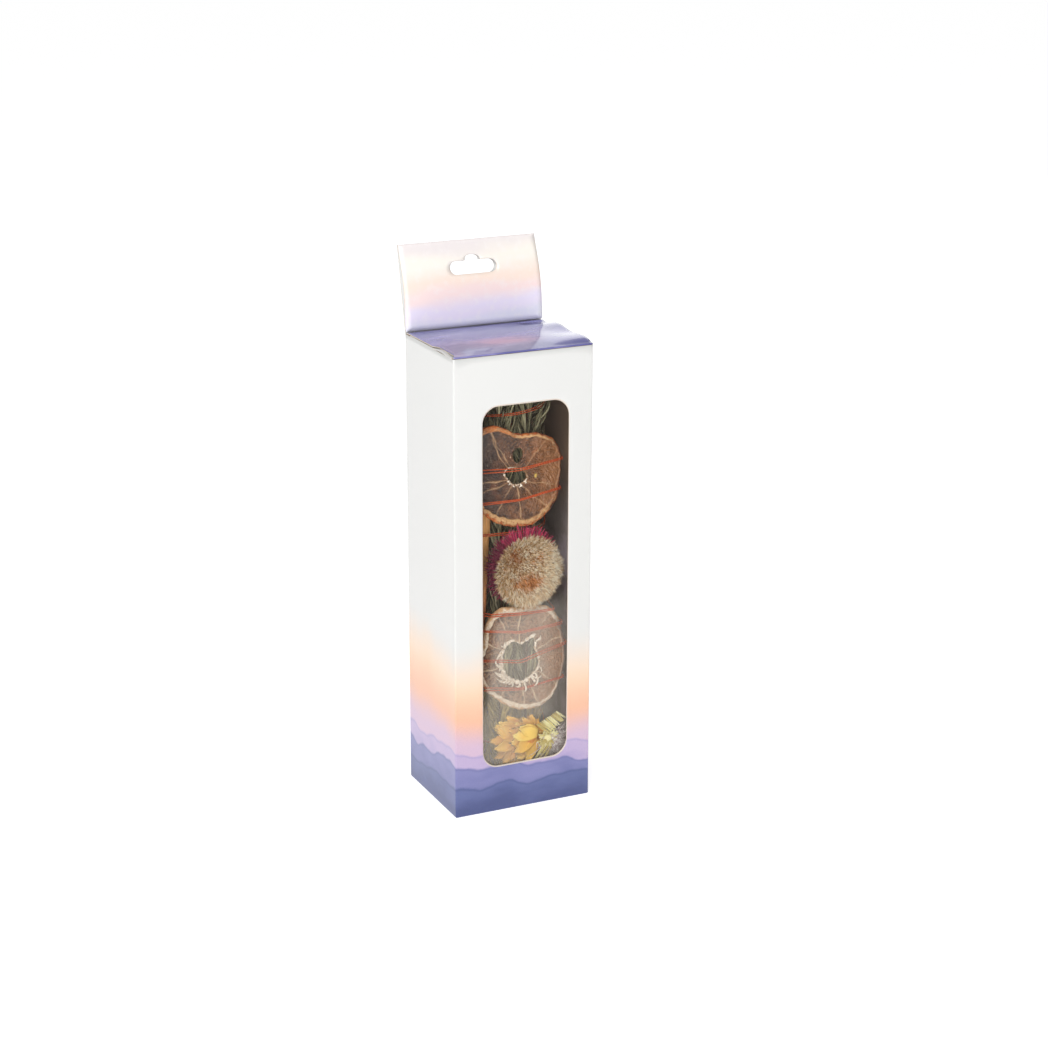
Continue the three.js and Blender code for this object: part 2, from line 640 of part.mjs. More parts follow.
// Drops the points that lie on a straight run
function straighten(points, tolerance) {
  if (points.length < 3) return points;
  const line = new THREE.Line3(points[0], points[points.length - 1]);
  const nearest = new THREE.Vector3();
  const misses = points.map((p) => p.distanceTo(line.closestPointToPoint(p, true, nearest)));
  const worst = misses.indexOf(Math.max(...misses));
  if (misses[worst] < tolerance) return [points[0], points[points.length - 1]];
  const before = straighten(points.slice(0, worst + 1), tolerance);
  return [...before.slice(0, -1), ...straighten(points.slice(worst), tolerance)];
}

function threadRoute() {
  const heights = [];
  TURNS.forEach(([left, middle, right], k) => {
    heights.push(new THREE.Vector2(k - THREAD.side, left), new THREE.Vector2(k, middle),
      new THREE.Vector2(k + THREAD.side, right));
  });
  const rise = new THREE.SplineCurve(heights);
  const heightAt = (turn) => {
    const place = heights.findIndex((h) => h.x > turn);
    const i = place < 1 ? heights.length - 2 : place - 1;
    const t = THREE.MathUtils.clamp((turn - heights[i].x) / (heights[i + 1].x - heights[i].x), 0, 1);
    return rise.getPoint((i + t) / (heights.length - 1)).y;
  };
  const points = [];
  const end = TURNS.length - 1 + THREAD.end;
  for (let turn = -THREAD.side; turn <= end; turn += 1 / THREAD.samples) {
    const theta = 2 * Math.PI * turn - Math.PI / 2;
    const z = heightAt(turn);
    const r = threadDistance(theta, z);
    points.push(new THREE.Vector3(BUNDLE.x + r * Math.cos(theta), BUNDLE.y + r * Math.sin(theta), z));
  }
  return straighten(points, THREAD.straightness);
}

// Thread: one round cord wound round the bundle, with the knot behind at its upper end
function bindingThread() {
  const route = threadRoute();
  const rings = route.map((point, i) => {
    const before = route[Math.max(0, i - 1)];
    const after = route[Math.min(route.length - 1, i + 1)];
    const along = after.clone().sub(before).normalize();
    const out = new THREE.Vector3(point.x - BUNDLE.x, point.y - BUNDLE.y, 0);
    out.addScaledVector(along, -out.dot(along)).normalize();
    const side = along.clone().cross(out);
    const ring = [];
    for (let j = 0; j < THREAD.sides; j += 1) {
      const a = (j / THREAD.sides) * 2 * Math.PI;
      ring.push(point.clone().addScaledVector(out, THREAD.radius * Math.cos(a))
        .addScaledVector(side, THREAD.radius * Math.sin(a)));
    }
    return ring;
  });
  const end = route[route.length - 1];
  const knot = new THREE.IcosahedronGeometry(THREAD.knot, 0)
    .translate(end.x, end.y + THREAD.knot - THREAD.radius, end.z);
  return unite([loft(rings), knot]);
}

const carton = new THREE.Group();
carton.add(mesh('carton_body', cartonBody(), COLOURS.board));
carton.add(mesh('window_film', windowFilm(), COLOURS.film));
carton.add(hangTab());
carton.add(mesh('lid_panel', lidPanel(), COLOURS.print));
carton.add(tuckTongue());
carton.add(mesh('dust_flap_left', dustFlap(-1), COLOURS.board));
carton.add(mesh('dust_flap_right', dustFlap(1), COLOURS.board));

const stick = new THREE.Group();
stick.add(rosemary());
stick.add(mesh('palo_santo_stick', paloSanto(), COLOURS.palo));
for (const [name, slice] of [['orange_slice_upper', UPPER_SLICE], ['orange_slice_lower', LOWER_SLICE]]) {
  stick.add(faceWindow(mesh(name, orangeSlice(slice), COLOURS.orange), slice.x, SLICE_Y, slice.z));
}
stick.add(faceWindow(mesh('everlasting_bracts', everlastingBracts(), COLOURS.magenta),
  EVERLASTING.x, EVERLASTING.back, EVERLASTING.z));
stick.add(faceWindow(mesh('everlasting_fluff', everlastingPappus(), COLOURS.fluff),
  EVERLASTING.x, PAPPUS.back, EVERLASTING.z));
stick.add(faceWindow(mesh('yellow_flower_bracts', yellowBracts(), COLOURS.golden),
  YELLOW.x, YELLOW.back, YELLOW.z));
stick.add(faceWindow(mesh('yellow_flower_comb', yellowComb(), COLOURS.pale),
  YELLOW.x + PALE.x, YELLOW.back - PALE.height, YELLOW.z + PALE.z));
stick.add(mesh('binding_thread', bindingThread(), COLOURS.thread));

const group = new THREE.Group();
group.add(carton);
group.add(stick);

export default group;
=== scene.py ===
"""Looks of a rosemary and palo santo smudge stick in its windowed carton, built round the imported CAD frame.

Shapes are worked out in millimetres, +Z up, with the window facing -Y, and are put into the meshes in metres.
"""

import math

import bpy
import numpy as np
from bpy.props import FloatProperty, FloatVectorProperty, IntProperty, PointerProperty
from mathutils import Matrix, Vector


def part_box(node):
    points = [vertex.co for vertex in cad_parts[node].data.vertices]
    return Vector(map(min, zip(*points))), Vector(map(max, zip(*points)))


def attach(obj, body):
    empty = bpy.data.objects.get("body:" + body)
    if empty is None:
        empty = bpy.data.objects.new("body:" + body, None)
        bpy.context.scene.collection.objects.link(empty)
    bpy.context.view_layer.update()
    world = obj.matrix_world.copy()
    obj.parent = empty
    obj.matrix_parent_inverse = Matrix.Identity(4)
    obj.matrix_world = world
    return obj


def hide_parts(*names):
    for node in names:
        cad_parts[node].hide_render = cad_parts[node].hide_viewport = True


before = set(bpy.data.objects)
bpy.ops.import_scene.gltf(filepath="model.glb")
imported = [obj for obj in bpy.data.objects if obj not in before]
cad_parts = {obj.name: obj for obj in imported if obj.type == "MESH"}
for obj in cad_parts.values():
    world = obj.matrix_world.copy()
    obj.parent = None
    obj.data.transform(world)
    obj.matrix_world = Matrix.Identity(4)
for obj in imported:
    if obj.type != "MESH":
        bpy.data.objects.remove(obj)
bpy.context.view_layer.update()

bl_info = {
    "name": "Boxed herb smudge stick",
    "version": (1, 0, 0),
    "blender": (4, 5, 0),
    "location": "3D View > Sidebar > Smudge stick",
    "description": "Builds the looks of a boxed rosemary and palo santo smudge stick",
    "category": "Object",
}

MM = 0.001


def tone(red, green, blue):
    """A colour as it looks on a screen, 0 to 255, turned into linear light."""
    share = np.array([red, green, blue]) / 255
    return tuple(np.where(share <= 0.04045, share / 12.92, ((share + 0.055) / 1.055) ** 2.4).tolist())


def darker(colour, share):
    """A colour at a share of its light."""
    return tuple(share * part for part in colour)


def box_mm(node):
    """A CAD node's lowest and highest corners in millimetres."""
    low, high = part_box(node)
    return np.array(low) / MM, np.array(high) / MM


# Carton
HALF_X, HALF_Y, WALL_TOP = box_mm("carton_body")[1]
BOARD = 0.6
THIN_BOARD = 0.45
LID_BOARD = 0.5
FILM = 0.12
PANEL_STEPS = {"across": 73, "deep": 41, "up": 97, "hole_rings": 10, "hole_edge": 6000}
WINDOW = {"left": -22.2, "right": 24.4, "bottom": 25.0, "top": 213.5, "corner": 8.5, "lip": 0.028}
LID = {"front": -29.3, "rear": 27.4, "top": 240.0, "bow": 2.2, "half": 37.2, "crease": 0.7}
TONGUE = {"half": 34.0, "drop": 14.0, "corner": 9.0, "lean": math.radians(8)}
FLAP = {"reach": 26.0, "front": -27.5, "rear": 24.0, "taper": 24.0, "rear_taper": 3.0, "crease": 0.45}
TAB = {"foot": 240.3, "length": 43.0, "lean": math.radians(12.5), "splay": 2.6, "foot_gap": 0.5, "fold": 0.7,
       "rear_start": -1.3, "front_start": -0.3}
SLOT = {"centre": 1.3, "width": 25.4, "low": 25.6, "high": 32.3, "hump": 4.15, "hump_top": 35.2}

# Stick
BUNDLE = {"x": 3.0, "y": 3.5, "pitch": 13.2, "turn": 8.0, "radius": 19.55, "wide": 1.12}
SPRIG_TOPS = (229, 224, 231, 219, 227, 222, 230)
SPRIG = {"lean": 1.6, "tuft": 44, "tuft_height": 13, "whorl": 4, "whorl_turn": 1.13, "stem_rings": 60}
PALO = {"foot": 84.0, "top": 186.0, "width": 10.5, "front": -14.6, "back": -6.4,
        "right_foot": -13.8, "right_top": -8.4}
SLICE_Y = -18.0
SLICE_STEPS = {"round": 480, "front": 72, "skin": 10, "back": 22}

# A slice's radii and the radii of its hole go round it in even steps from the right, its rims are the pith's
# widths in such steps, its membranes are angles, its seeds are places, and its ribbons a count and a size.
UPPER_SLICE = {
    "x": 0.5, "y": SLICE_Y, "z": 172.0, "side_bend": 0.0026, "curl": 2.4, "pale": 0.0, "stain": 0.9,
    "radii": (25.4, 28.2, 25.6, 23.6, 33.0, 31.0, 25.5, 23.6, 23.6, 24.8, 27.0, 26.8),
    "hole": (6.4, 6.1, 5.4, 5.5, 6.6, 6.4, 3.7, 3.0, 2.9, 3.0, 3.5, 5.0),
    "membranes": (44, 116, 121, 179, 199, 242, 283, 318, 343), "second_hole": (1.5, 12.0, 2.7, 3.9),
    "rims": (0.9, 1.5, 2.2, 3.4, 2.6, 3.0, 4.0, 3.0), "seeds": ((11.6, 0.2),), "ribbons": (10, 1.7),
}
LOWER_SLICE = {
    "x": 4.5, "y": SLICE_Y, "z": 76.0, "side_bend": 0.0026, "curl": 1.6, "pale": 1.0, "stain": 1.6,
    "radii": (24.8, 26.6, 29.8, 28.4, 31.6, 24.2, 23.2, 24.2, 24.6, 27.6, 29.8, 26.6),
    "hole": (9.2, 8.6, 12.4, 8.2, 11.8, 11.6, 11.2, 11.4, 11.8, 12.2, 11.0, 10.8),
    "membranes": (20, 54, 95, 116, 153, 190, 236, 270, 291, 317), "second_hole": None,
    "rims": (1.0, 2.4, 3.0, 3.2, 1.2, 2.2, 3.2, 1.8), "seeds": (), "ribbons": (26, 4.4),
}

# The everlasting's reaches go round it like a slice's radii. A row of its bracts has a share of the reach,
# the height of its roots and its rise.
EVERLASTING = {
    "x": 6.2, "y": -18.2, "z": 124.0, "fluff_y": -21.9, "radius": 19.4, "height": 6.0,
    "reaches": (16.0, 18.2, 22.6, 23.6, 24.6, 24.6, 22.8, 22.0, 17.6, 14.6, 14.2, 15.0), "row_count": 190,
    "rows": ((1.0, 0.2, 1.2), (1.0, 0.8, 1.6), (0.98, 1.4, 1.8), (0.95, 2.0, 1.6), (0.92, 2.5, 1.2),
             (0.88, 2.9, 0.8)),
}

# Orange patches in the fluff: X, Z, radius and strength, which is negative for a cream patch
FLUFF_PATCHES = (
    (-1.6, -4.9, 4.8, 1.0), (-7.4, -5.5, 2.8, 0.5), (3.2, -4.4, 3.0, 0.6), (-9.0, 10.6, 2.4, 0.8),
    (-6.6, 7.4, 1.7, 0.7), (5.8, 8.2, 2.2, 0.6), (0.8, 6.3, 1.5, 0.6), (-3.4, 3.6, 2.0, -1.1),
    (-10.9, 1.0, 1.7, -1.0), (-4.2, 10.6, 2.0, -0.8), (1.2, 2.8, 2.0, -0.6), (-14.0, 10.0, 5.0, 0.25),
    (13.0, 1.0, 6.0, -0.35),
)
TUFT_BRISTLES = 3
YELLOW = {"x": 7.5, "y": -18.2, "z": 32.5, "headroom": 13.6, "seat_count": 13,
          "comb_x": 8.5, "comb_z": 0.5, "comb_height": 7.3, "hairs": 620}

# Golden bracts: angle in degrees, reach, width, height of the root, rise, X and Z of the start, and glow
GOLDEN_BRACTS = (
    (130, 18.0, 7, 0.6, 1.4, 0, 0, 0.55), (141, 20.0, 8, 0.9, 1.8, 0, 0, 0.75),
    (153, 21.0, 8, 0.6, 2.2, 0, 0, 0.6), (164, 20.5, 8, 1.1, 1.6, 0, 0, 0.7),
    (175, 21.0, 8, 0.8, 1.2, 0, 0, 0.45), (187, 19.5, 8, 1.2, 1.8, 0, 0, 0.6),
    (199, 20.5, 8, 0.7, 1.4, 0, 0, 0.45), (212, 18.5, 8, 1.1, 1.6, 0, 0, 0.55),
    (226, 17.0, 8, 0.8, 1.4, 0, 0, 0.5), (241, 14.5, 8, 1.0, 1.4, 0, 0, 0.6),
    (104, 12.5, 7, 1.4, 1.2, 0, 0, 0.6), (80, 12.5, 7, 1.0, 1.2, 0, 0, 0.5),
    (124, 13.0, 7, 2.4, 1.4, 3, 1, 0.65), (139, 14.5, 7, 2.6, 2.0, 3, 1, 0.75),
    (153, 15.5, 7, 2.2, 2.4, 3, 2, 0.7), (184, 16.8, 8, 3.0, 2.4, 5, 1, 0.8),
    (198, 16.0, 8, 3.8, 2.2, 5, 1, 0.7), (213, 15.6, 8, 3.2, 2.8, 5, 0, 0.85),
    (230, 13.6, 7, 3.8, 2.0, 5, 0, 0.7), (156, 14.6, 7, 4.0, 2.6, 5.5, 2.5, 0.95),
    (168, 16.0, 8, 4.4, 2.2, 5.5, 2.5, 1.0),
)

# Rows of pale blades: their count, where the first and last are rooted, where those two end, and the height
PALE_COMBS = (
    (12, (-6.7, 9.2), (4.2, 14.2), (1.0, 2.2), (10.0, 8.8), 1.0),
    (6, (-2.3, -2.9), (2.1, -4.6), (-7.6, -10.2), (-2.2, -10.8), 0.8),
)

# Heights of each turn of the thread at the left, the middle and the right of the front
TURNS = (
    (31.0, 30.0, 33.0), (64.0, 60.3, 63.0), (79.6, 75.2, 81.7), (95.6, 91.1, 92.6), (103.5, 101.6, 101.0),
    (143.9, 143.0, 143.2), (161.4, 161.3, 165.0), (178.4, 177.0, 180.1), (204.0, 205.0, 206.6),
)
THREAD = {"samples": 1900, "loop_samples": 121, "radius": 0.27, "sides": 8, "front_share": 0.16,
          "clearance": 0.75}

# Seeds of the random draws. A slice's curls take the seed that is CURL_SEED further, and a sprig its number.
SEEDS = {"sprig": 301, "upper": 21, "lower": 31, "everlasting": 41, "fluff": 43, "yellow": 45, "combs": 47,
         "hairs": 49}
CURL_SEED = 7

# Camera, fitted to the corners of the carton, in metres and radians
CAMERA_PLACE = (-0.4814, -1.0512, 0.5122)
CAMERA_TURN = math.radians(-25.2461)
CAMERA_RISE = math.radians(17.6993)
CAMERA_ROLL = math.radians(0.16)
CAMERA_LENS = 82.33

# Square lights that face one place: name, place and side in metres
LIGHTS = (("key", (-0.95, -1.35, 0.6), 0.6), ("top", (-0.6, -0.7, 1.0), 0.5), ("rear", (0.8, 1.6, 0.65), 1.0))
LIT_PLACE = Vector((0, 0, 0.15))


def shade_setting(name, description, red, green, blue):
    """A colour setting, with its default as it looks on a screen."""
    return FloatVectorProperty(name=name, description=description, default=tone(red, green, blue),
                               subtype="COLOR")


def size_setting(name, description, metres):
    """A length setting."""
    return FloatProperty(name=name, description=description, default=metres, unit="LENGTH")


def power_setting(name, description, watts):
    """A light's power setting."""
    return FloatProperty(name=name, description=description, default=watts, unit="POWER")


class CartonSettings(bpy.types.PropertyGroup):
    crease: size_setting("Crease radius", "Rounding of the carton's folded edges", 0.0007)
    white: shade_setting("Board white", "Coated outside of the board", 217, 217, 215)
    inside: shade_setting("Board inside", "Uncoated inside of the board", 178, 163, 158)
    peach: shade_setting("Peach wash", "Uppermost wash of colour at the foot", 240, 208, 178)
    salmon: shade_setting("Salmon wash", "Wash under the peach", 236, 180, 148)
    lilac: shade_setting("Lilac wash", "Wash under the salmon", 206, 178, 200)
    indigo: shade_setting("Indigo wash", "Lowest wash", 58, 70, 122)
    # Film haze: strength of the painted reflection laid over the film's lower half
    glare: FloatProperty(name="Film haze", description="Most that the hazed half of the film hides",
                        default=0.14, min=0, max=1, subtype="FACTOR")


class StickSettings(bpy.types.PropertyGroup):
    needle_width: size_setting("Needle width", "Width of a rosemary needle", 0.00086)
    needle_layer: size_setting("Needle spacing", "Height between layers of needles", 0.0014)
    tufts: IntProperty(name="Tufts", description="Tufts of the everlasting's fluff", default=4200)
    needle_green: shade_setting("Needle green", "Dried upper side of a needle", 172, 167, 130)
    wood: shade_setting("Palo santo", "Split palo santo wood", 240, 176, 104)
    flesh: shade_setting("Orange flesh", "Dried flesh of the orange slices", 112, 72, 46)
    pith: shade_setting("Orange pith", "Dried pith of the orange slices", 206, 164, 114)
    magenta: shade_setting("Magenta bract", "Bracts of the everlasting", 142, 26, 66)
    golden: shade_setting("Golden bract", "Bracts of the yellow flower", 250, 192, 72)
    thread: shade_setting("Thread", "Binding thread", 208, 84, 32)


class StageSettings(bpy.types.PropertyGroup):
    floor: shade_setting("Floor", "Pale floor under the carton", 247, 247, 247)
    floor_size: size_setting("Floor size", "Side of the floor", 60.0)
    floor_glow: FloatProperty(name="Floor glow", description="Light that keeps the floor white", default=0.6)
    sky: FloatProperty(name="Sky", description="Strength of the even white light", default=0.42)
    key: power_setting("Key light", "Power of the soft light at the front left", 4.0)
    top: power_setting("Top light", "Power of the soft light above the front", 7.8)
    rear: power_setting("Rear light", "Power of the light that the lid mirrors", 3.2)


class Value:
    """A shader socket with arithmetic: an expression on values adds its Math nodes."""

    def __init__(self, finish, socket):
        self.finish = finish
        self.socket = socket

    def _math(self, operation, *numbers):
        inputs = dict(enumerate(numbers))
        return self.finish.node("ShaderNodeMath", {"operation": operation}, inputs)

    def __add__(self, other):
        return self._math("ADD", self, other)

    def __sub__(self, other):
        return self._math("SUBTRACT", self, other)

    def __rsub__(self, other):
        return self._math("SUBTRACT", other, self)

    def __mul__(self, other):
        return self._math("MULTIPLY", self, other)

    def __truediv__(self, other):
        return self._math("DIVIDE", self, other)

    def __pow__(self, other):
        return self._math("POWER", self, other)

    __radd__ = __add__
    __rmul__ = __mul__

    def sine(self):
        return self._math("SINE", self)

    def absolute(self):
        return self._math("ABSOLUTE", self)

    def smooth(self, low, high):
        """0 below low, 1 above high, and smooth between."""
        inputs = {"Value": self, "From Min": low, "From Max": high}
        return self.finish.node("ShaderNodeMapRange", {"interpolation_type": "SMOOTHSTEP"}, inputs)


class Finish:
    """A material with one Principled shader, and the nodes that feed it."""

    def __init__(self, name, **constants):
        self.material = bpy.data.materials.new(name)
        self.material.use_nodes = True
        self.tree = self.material.node_tree
        self.tree.nodes.clear()
        self.shader = self.tree.nodes.new("ShaderNodeBsdfPrincipled")
        output = self.tree.nodes.new("ShaderNodeOutputMaterial")
        self.tree.links.new(self.shader.outputs[0], output.inputs[0])
        for label, value in constants.items():
            self.feed(label.replace("_", " ").title().replace("Ior", "IOR"), value)

    def feed(self, label, value):
        """Sets one of the shader's sockets, or links a value to it."""
        self._set(self.shader.inputs[label], value)

    def _set(self, socket, value):
        if isinstance(value, Value):
            self.tree.links.new(value.socket, socket)
        elif socket.type == "RGBA" and len(value) == 3:
            socket.default_value = (*value, 1)
        else:
            socket.default_value = value

    def node(self, kind, settings=None, inputs=None, output=0):
        """Adds a node, makes its settings, then sets or links its sockets."""
        node = self.tree.nodes.new(kind)
        for label, value in (settings or {}).items():
            if label == "stops":
                self._stops(node.color_ramp, value)
            else:
                setattr(node, label, value)
        for label, value in (inputs or {}).items():
            self._set(node.inputs[label], value)
        return Value(self, node.outputs[output])

    def _stops(self, ramp, stops):
        while len(ramp.elements) < len(stops):
            ramp.elements.new(0.5)
        for element, (place, colour) in zip(ramp.elements, stops):
            element.position = place
            element.color = (*colour, 1)

    def place(self, scale=(1, 1, 1)):
        """Object coordinates in millimetres, stretched by scale."""
        where = self.node("ShaderNodeTexCoord", output="Object")
        factor = tuple(1000 * s for s in scale)
        return self.node("ShaderNodeVectorMath", {"operation": "MULTIPLY"}, {0: where, 1: factor})

    def axes(self, where):
        """The three parts of a vector."""
        split = self.node("ShaderNodeSeparateXYZ", inputs={0: where})
        node = split.socket.node
        return [Value(self, node.outputs[i]) for i in range(3)]

    def noise(self, where, size, detail=3.0, roughness=0.55, distortion=0.0):
        """Noise from 0 to 1 whose features are about size millimetres across."""
        inputs = {"Vector": where, "Scale": 1 / size, "Detail": detail, "Roughness": roughness,
                  "Distortion": distortion}
        return self.node("ShaderNodeTexNoise", {"noise_dimensions": "3D"}, inputs)

    def attributes(self, *names):
        """Numbers that the mesh carries at its points."""
        return [self.node("ShaderNodeAttribute", {"attribute_name": name}, output="Fac") for name in names]

    def mix(self, first, second, share):
        """A colour between two colours."""
        return self.node("ShaderNodeMix", {"data_type": "RGBA"}, {0: share, 6: first, 7: second}, output=2)

    def layers(self, colour, *steps):
        """A colour with others laid over it in turn, each given as (colour, share)."""
        for over, share in steps:
            colour = self.mix(colour, over, share)
        return colour

    def bump(self, height, distance):
        """Gives the surface relief: height from 0 to 1 stands for distance in millimetres."""
        inputs = {"Height": height, "Distance": distance * MM, "Strength": 1.0}
        self.feed("Normal", self.node("ShaderNodeBump", inputs=inputs))


def smooth(value, low, high):
    """0 below low, 1 above high, and smooth between."""
    share = np.clip((np.asarray(value, dtype=float) - low) / (high - low), 0, 1)
    return share * share * (3 - 2 * share)


def unit(vectors):
    """Vectors of length one."""
    return vectors / np.maximum(np.linalg.norm(vectors, axis=-1, keepdims=True), 1e-9)


def line_length(line):
    """How far along a line each of its points lies."""
    return np.r_[0, np.cumsum(np.linalg.norm(np.diff(line, axis=0), axis=1))]


def waves(points, size, seed, count=18):
    """Smooth random relief, mostly from -1 to 1: a sum of sine waves of like length in random directions."""
    rng = np.random.default_rng(seed)
    directions = unit(rng.normal(size=(count, points.shape[-1])))
    lengths = size * rng.uniform(0.6, 1.6, count)
    angle = 2 * np.pi * points @ (directions / lengths[:, None]).T + rng.uniform(0, 2 * np.pi, count)
    return np.sin(angle).sum(axis=-1) / math.sqrt(2 * count)


def grid_faces(rows, columns, close_rows=False, close_columns=False):
    """Quads of a grid of points laid row after row, joined round where it is closed."""
    i, j = np.meshgrid(np.arange(rows - (not close_rows)), np.arange(columns - (not close_columns)),
                       indexing="ij")
    ahead, beside = (i + 1) % rows, (j + 1) % columns
    corners = [i * columns + j, i * columns + beside, ahead * columns + beside, ahead * columns + j]
    return np.stack(corners, axis=-1).reshape(-1, 4)


def weld(points, faces):
    """Joins points that lie in the same place."""
    _, first, place = np.unique(np.round(points, 3), axis=0, return_index=True, return_inverse=True)
    return points[first], [place.ravel()[f] for f in faces]


def gather(parts):
    """Lays several (points, faces) parts one after another in one mesh."""
    points = np.concatenate([p for p, _ in parts])
    starts = np.cumsum([0] + [len(p) for p, _ in parts[:-1]])
    faces = [f + start for start, (_, group) in zip(starts, parts) for f in group]
    return points, faces


def tubes(rings):
    """Many closed tubes at once, from rings shaped (tubes, rings, sides, 3), with a cap at each end."""
    count, rows, sides, _ = rings.shape
    shift = (np.arange(count) * rows * sides)[:, None, None]
    walls = grid_faces(rows, sides, close_columns=True)[None] + shift
    ends = np.stack([np.arange(sides)[::-1], (rows - 1) * sides + np.arange(sides)])[None] + shift
    return rings.reshape(-1, 3), [walls.reshape(-1, 4), ends.reshape(-1, sides)]


def blade_rings(centres, face, half_width, half_thickness, sides):
    """Oval rings round centre lines shaped (blades, rings, 3): thin along face, wide across it."""
    along = unit(np.gradient(centres, axis=1))
    wide = unit(np.cross(along, face))
    thin = np.cross(wide, along)
    turn = 2 * np.pi * np.arange(sides) / sides
    across = (half_width[..., None] * np.sin(turn))[..., None] * wide[:, :, None]
    through = (half_thickness[..., None] * np.cos(turn))[..., None] * thin[:, :, None]
    return centres[:, :, None] + across + through


def sheet_places(across, up):
    """The points of a grid, row after row, as two lists."""
    return [a.ravel() for a in np.meshgrid(across, up)]


def add_piece(name, parts, materials, replaces=(), body="carton"):
    """Puts points in millimetres, lists of faces and, where given, values into a mesh, and ties the piece
    to the frame."""
    points, faces, *values = parts
    mesh = bpy.data.meshes.new(name)
    mesh.from_pydata((points * MM).tolist(), [], [face for group in faces for face in group.tolist()])
    for label, numbers in (values[0] if values else {}).items():
        layer = mesh.attributes.new(label, "FLOAT", "POINT")
        layer.data.foreach_set("value", np.ascontiguousarray(numbers, dtype=np.float32).ravel())
    mesh.polygons.foreach_set("use_smooth", np.full(len(mesh.polygons), True))
    for finish in materials:
        mesh.materials.append(finish.material)
    mesh.update()
    piece = bpy.data.objects.new(name, mesh)
    bpy.context.scene.collection.objects.link(piece)
    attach(piece, body)
    if replaces:
        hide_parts(*replaces)
    return piece


def give_board(piece, thickness):
    """Gives a sheet of outside faces its thickness inwards, with the inside and cut edge as slots 2 and 3."""
    solid = piece.modifiers.new("board", "SOLIDIFY")
    solid.thickness = thickness * MM
    solid.offset = -1
    solid.use_even_offset = True
    solid.material_offset = 1
    solid.material_offset_rim = 2
    return solid


# Carton finishes

def wash_colours(finish, height, settings):
    """Watercolour by height: white, peach, salmon and lilac melt into each other, and over them lie three
    violet to indigo washes, each with its own wavy edge that dried a little darker."""
    where = finish.place()
    drift = finish.noise(finish.place((1, 1, 0.3)), 40, detail=1.0) * 22 - 11
    ragged = finish.noise(where, 9, detail=5.0) * 4 - 2
    level = height + drift + ragged
    colour = finish.layers(
        settings.white,
        (settings.peach, 1 - level.smooth(64, 96)),
        (settings.salmon, (1 - level.smooth(50, 76)) * 0.95),
        (settings.lilac, 1 - level.smooth(36, 54)))
    bloom = finish.noise(finish.place((0.6, 1, 1.6)), 17)
    washes = (
        (33, 26, 34, tone(184, 166, 202), tone(152, 142, 190)),
        (24, 24, 27, tone(116, 120, 172), tone(88, 95, 150)),
        (15, 22, 38, tone(86, 98, 150), settings.indigo))
    for top, swing, size, light, dark in washes:
        wander = finish.noise(finish.place((1, 1, 0.2)), size, detail=2.0) * swing
        edge = height + ragged * 0.6 + wander - swing / 2
        rim = 1 - ((edge - (top - 0.8)) / 1.1).absolute().smooth(0, 1)
        wash = finish.layers(
            dark,
            (light, (bloom * 0.6 + (edge / top) * 0.4).smooth(0.3, 0.75)),
            (dark, rim * 0.5))
        colour = finish.mix(colour, wash, (1 - edge.smooth(top - 0.9, top + 0.9)) * 0.93)
    grain = finish.noise(where, 0.7, detail=2.0)
    tint = finish.mix((0.94, 0.94, 0.96), (1, 1, 1), grain.smooth(0.3, 0.62))
    return finish.node("ShaderNodeMix", {"data_type": "RGBA", "blend_type": "MULTIPLY"},
                       {0: 1 - level.smooth(50, 95), 6: colour, 7: tint}, output=2)


def printed_board(settings):
    """Coated white board with the wash at its foot."""
    finish = Finish("printed_board", roughness=0.34, coat_weight=0.25, coat_roughness=0.22)
    _, y, z = finish.axes(finish.place())
    finish.feed("Base Color", wash_colours(finish, z - (y + 30) * 0.03, settings))
    finish.bump(finish.noise(finish.place(), 0.9, detail=4.0), distance=0.012)
    return finish


def inner_board(settings):
    """Uncoated grey inside of the board with short fibres, with painted light low down as lighter rosy
    clouds, and painted shade at the top as warm brown.
    """
    finish = Finish("inner_board", roughness=0.85)
    z = finish.axes(finish.place())[2]
    fibres = finish.noise(finish.place((1, 1, 0.25)), 0.8, detail=5.0, roughness=0.7)
    cloud = finish.noise(finish.place(), 14)
    finish.feed("Base Color", finish.layers(
        darker(settings.inside, 0.8),
        (settings.inside, fibres.smooth(0.35, 0.62)),
        # Painted light: lighter rosy clouds low on the wall, where light through the window falls
        (tone(212, 194, 202), cloud.smooth(0.45, 0.65) * (1 - z.smooth(120, 150)) * 0.7),
        # Painted shade: warm brown at the top, standing in for the upper slice's shadow on the inner wall
        (tone(158, 124, 98), (z + cloud * 30).smooth(155, 190) * 0.8)))
    finish.bump(fibres, distance=0.03)
    return finish


def cut_edge():
    """Pale core of the board, seen where it is cut."""
    finish = Finish("cut_edge", roughness=0.8)
    fibres = finish.noise(finish.place(), 0.3)
    finish.feed("Base Color", finish.mix(tone(198, 180, 164), tone(230, 222, 212), fibres))
    return finish


def tab_print():
    """The tab's pale wash by height: lilac at its foot, then rose, peach and cream, and grey at its top."""
    finish = Finish("tab_print", roughness=0.32, coat_weight=0.3, coat_roughness=0.2)
    where = finish.place()
    x, _, z = finish.axes(where)
    drift = finish.noise(finish.place((0.5, 1, 1.2)), 26) * 12 - 6
    level = z + drift - x * 0.07
    grain = finish.noise(where, 3.5, detail=5.0)
    finish.feed("Base Color", finish.layers(
        tone(229, 228, 244),
        (tone(238, 229, 248), level.smooth(243, 249)),
        (tone(252, 228, 225), level.smooth(251, 258)),
        (tone(252, 231, 216), level.smooth(258, 264) * 0.9),
        (tone(250, 243, 233), level.smooth(263, 272)),
        (tone(233, 225, 226), level.smooth(273, 281) * 0.8),
        (tone(250, 246, 244), grain.smooth(0.45, 0.75) * 0.3)))
    finish.bump(finish.noise(where, 0.8, detail=2.0), distance=0.01)
    return finish


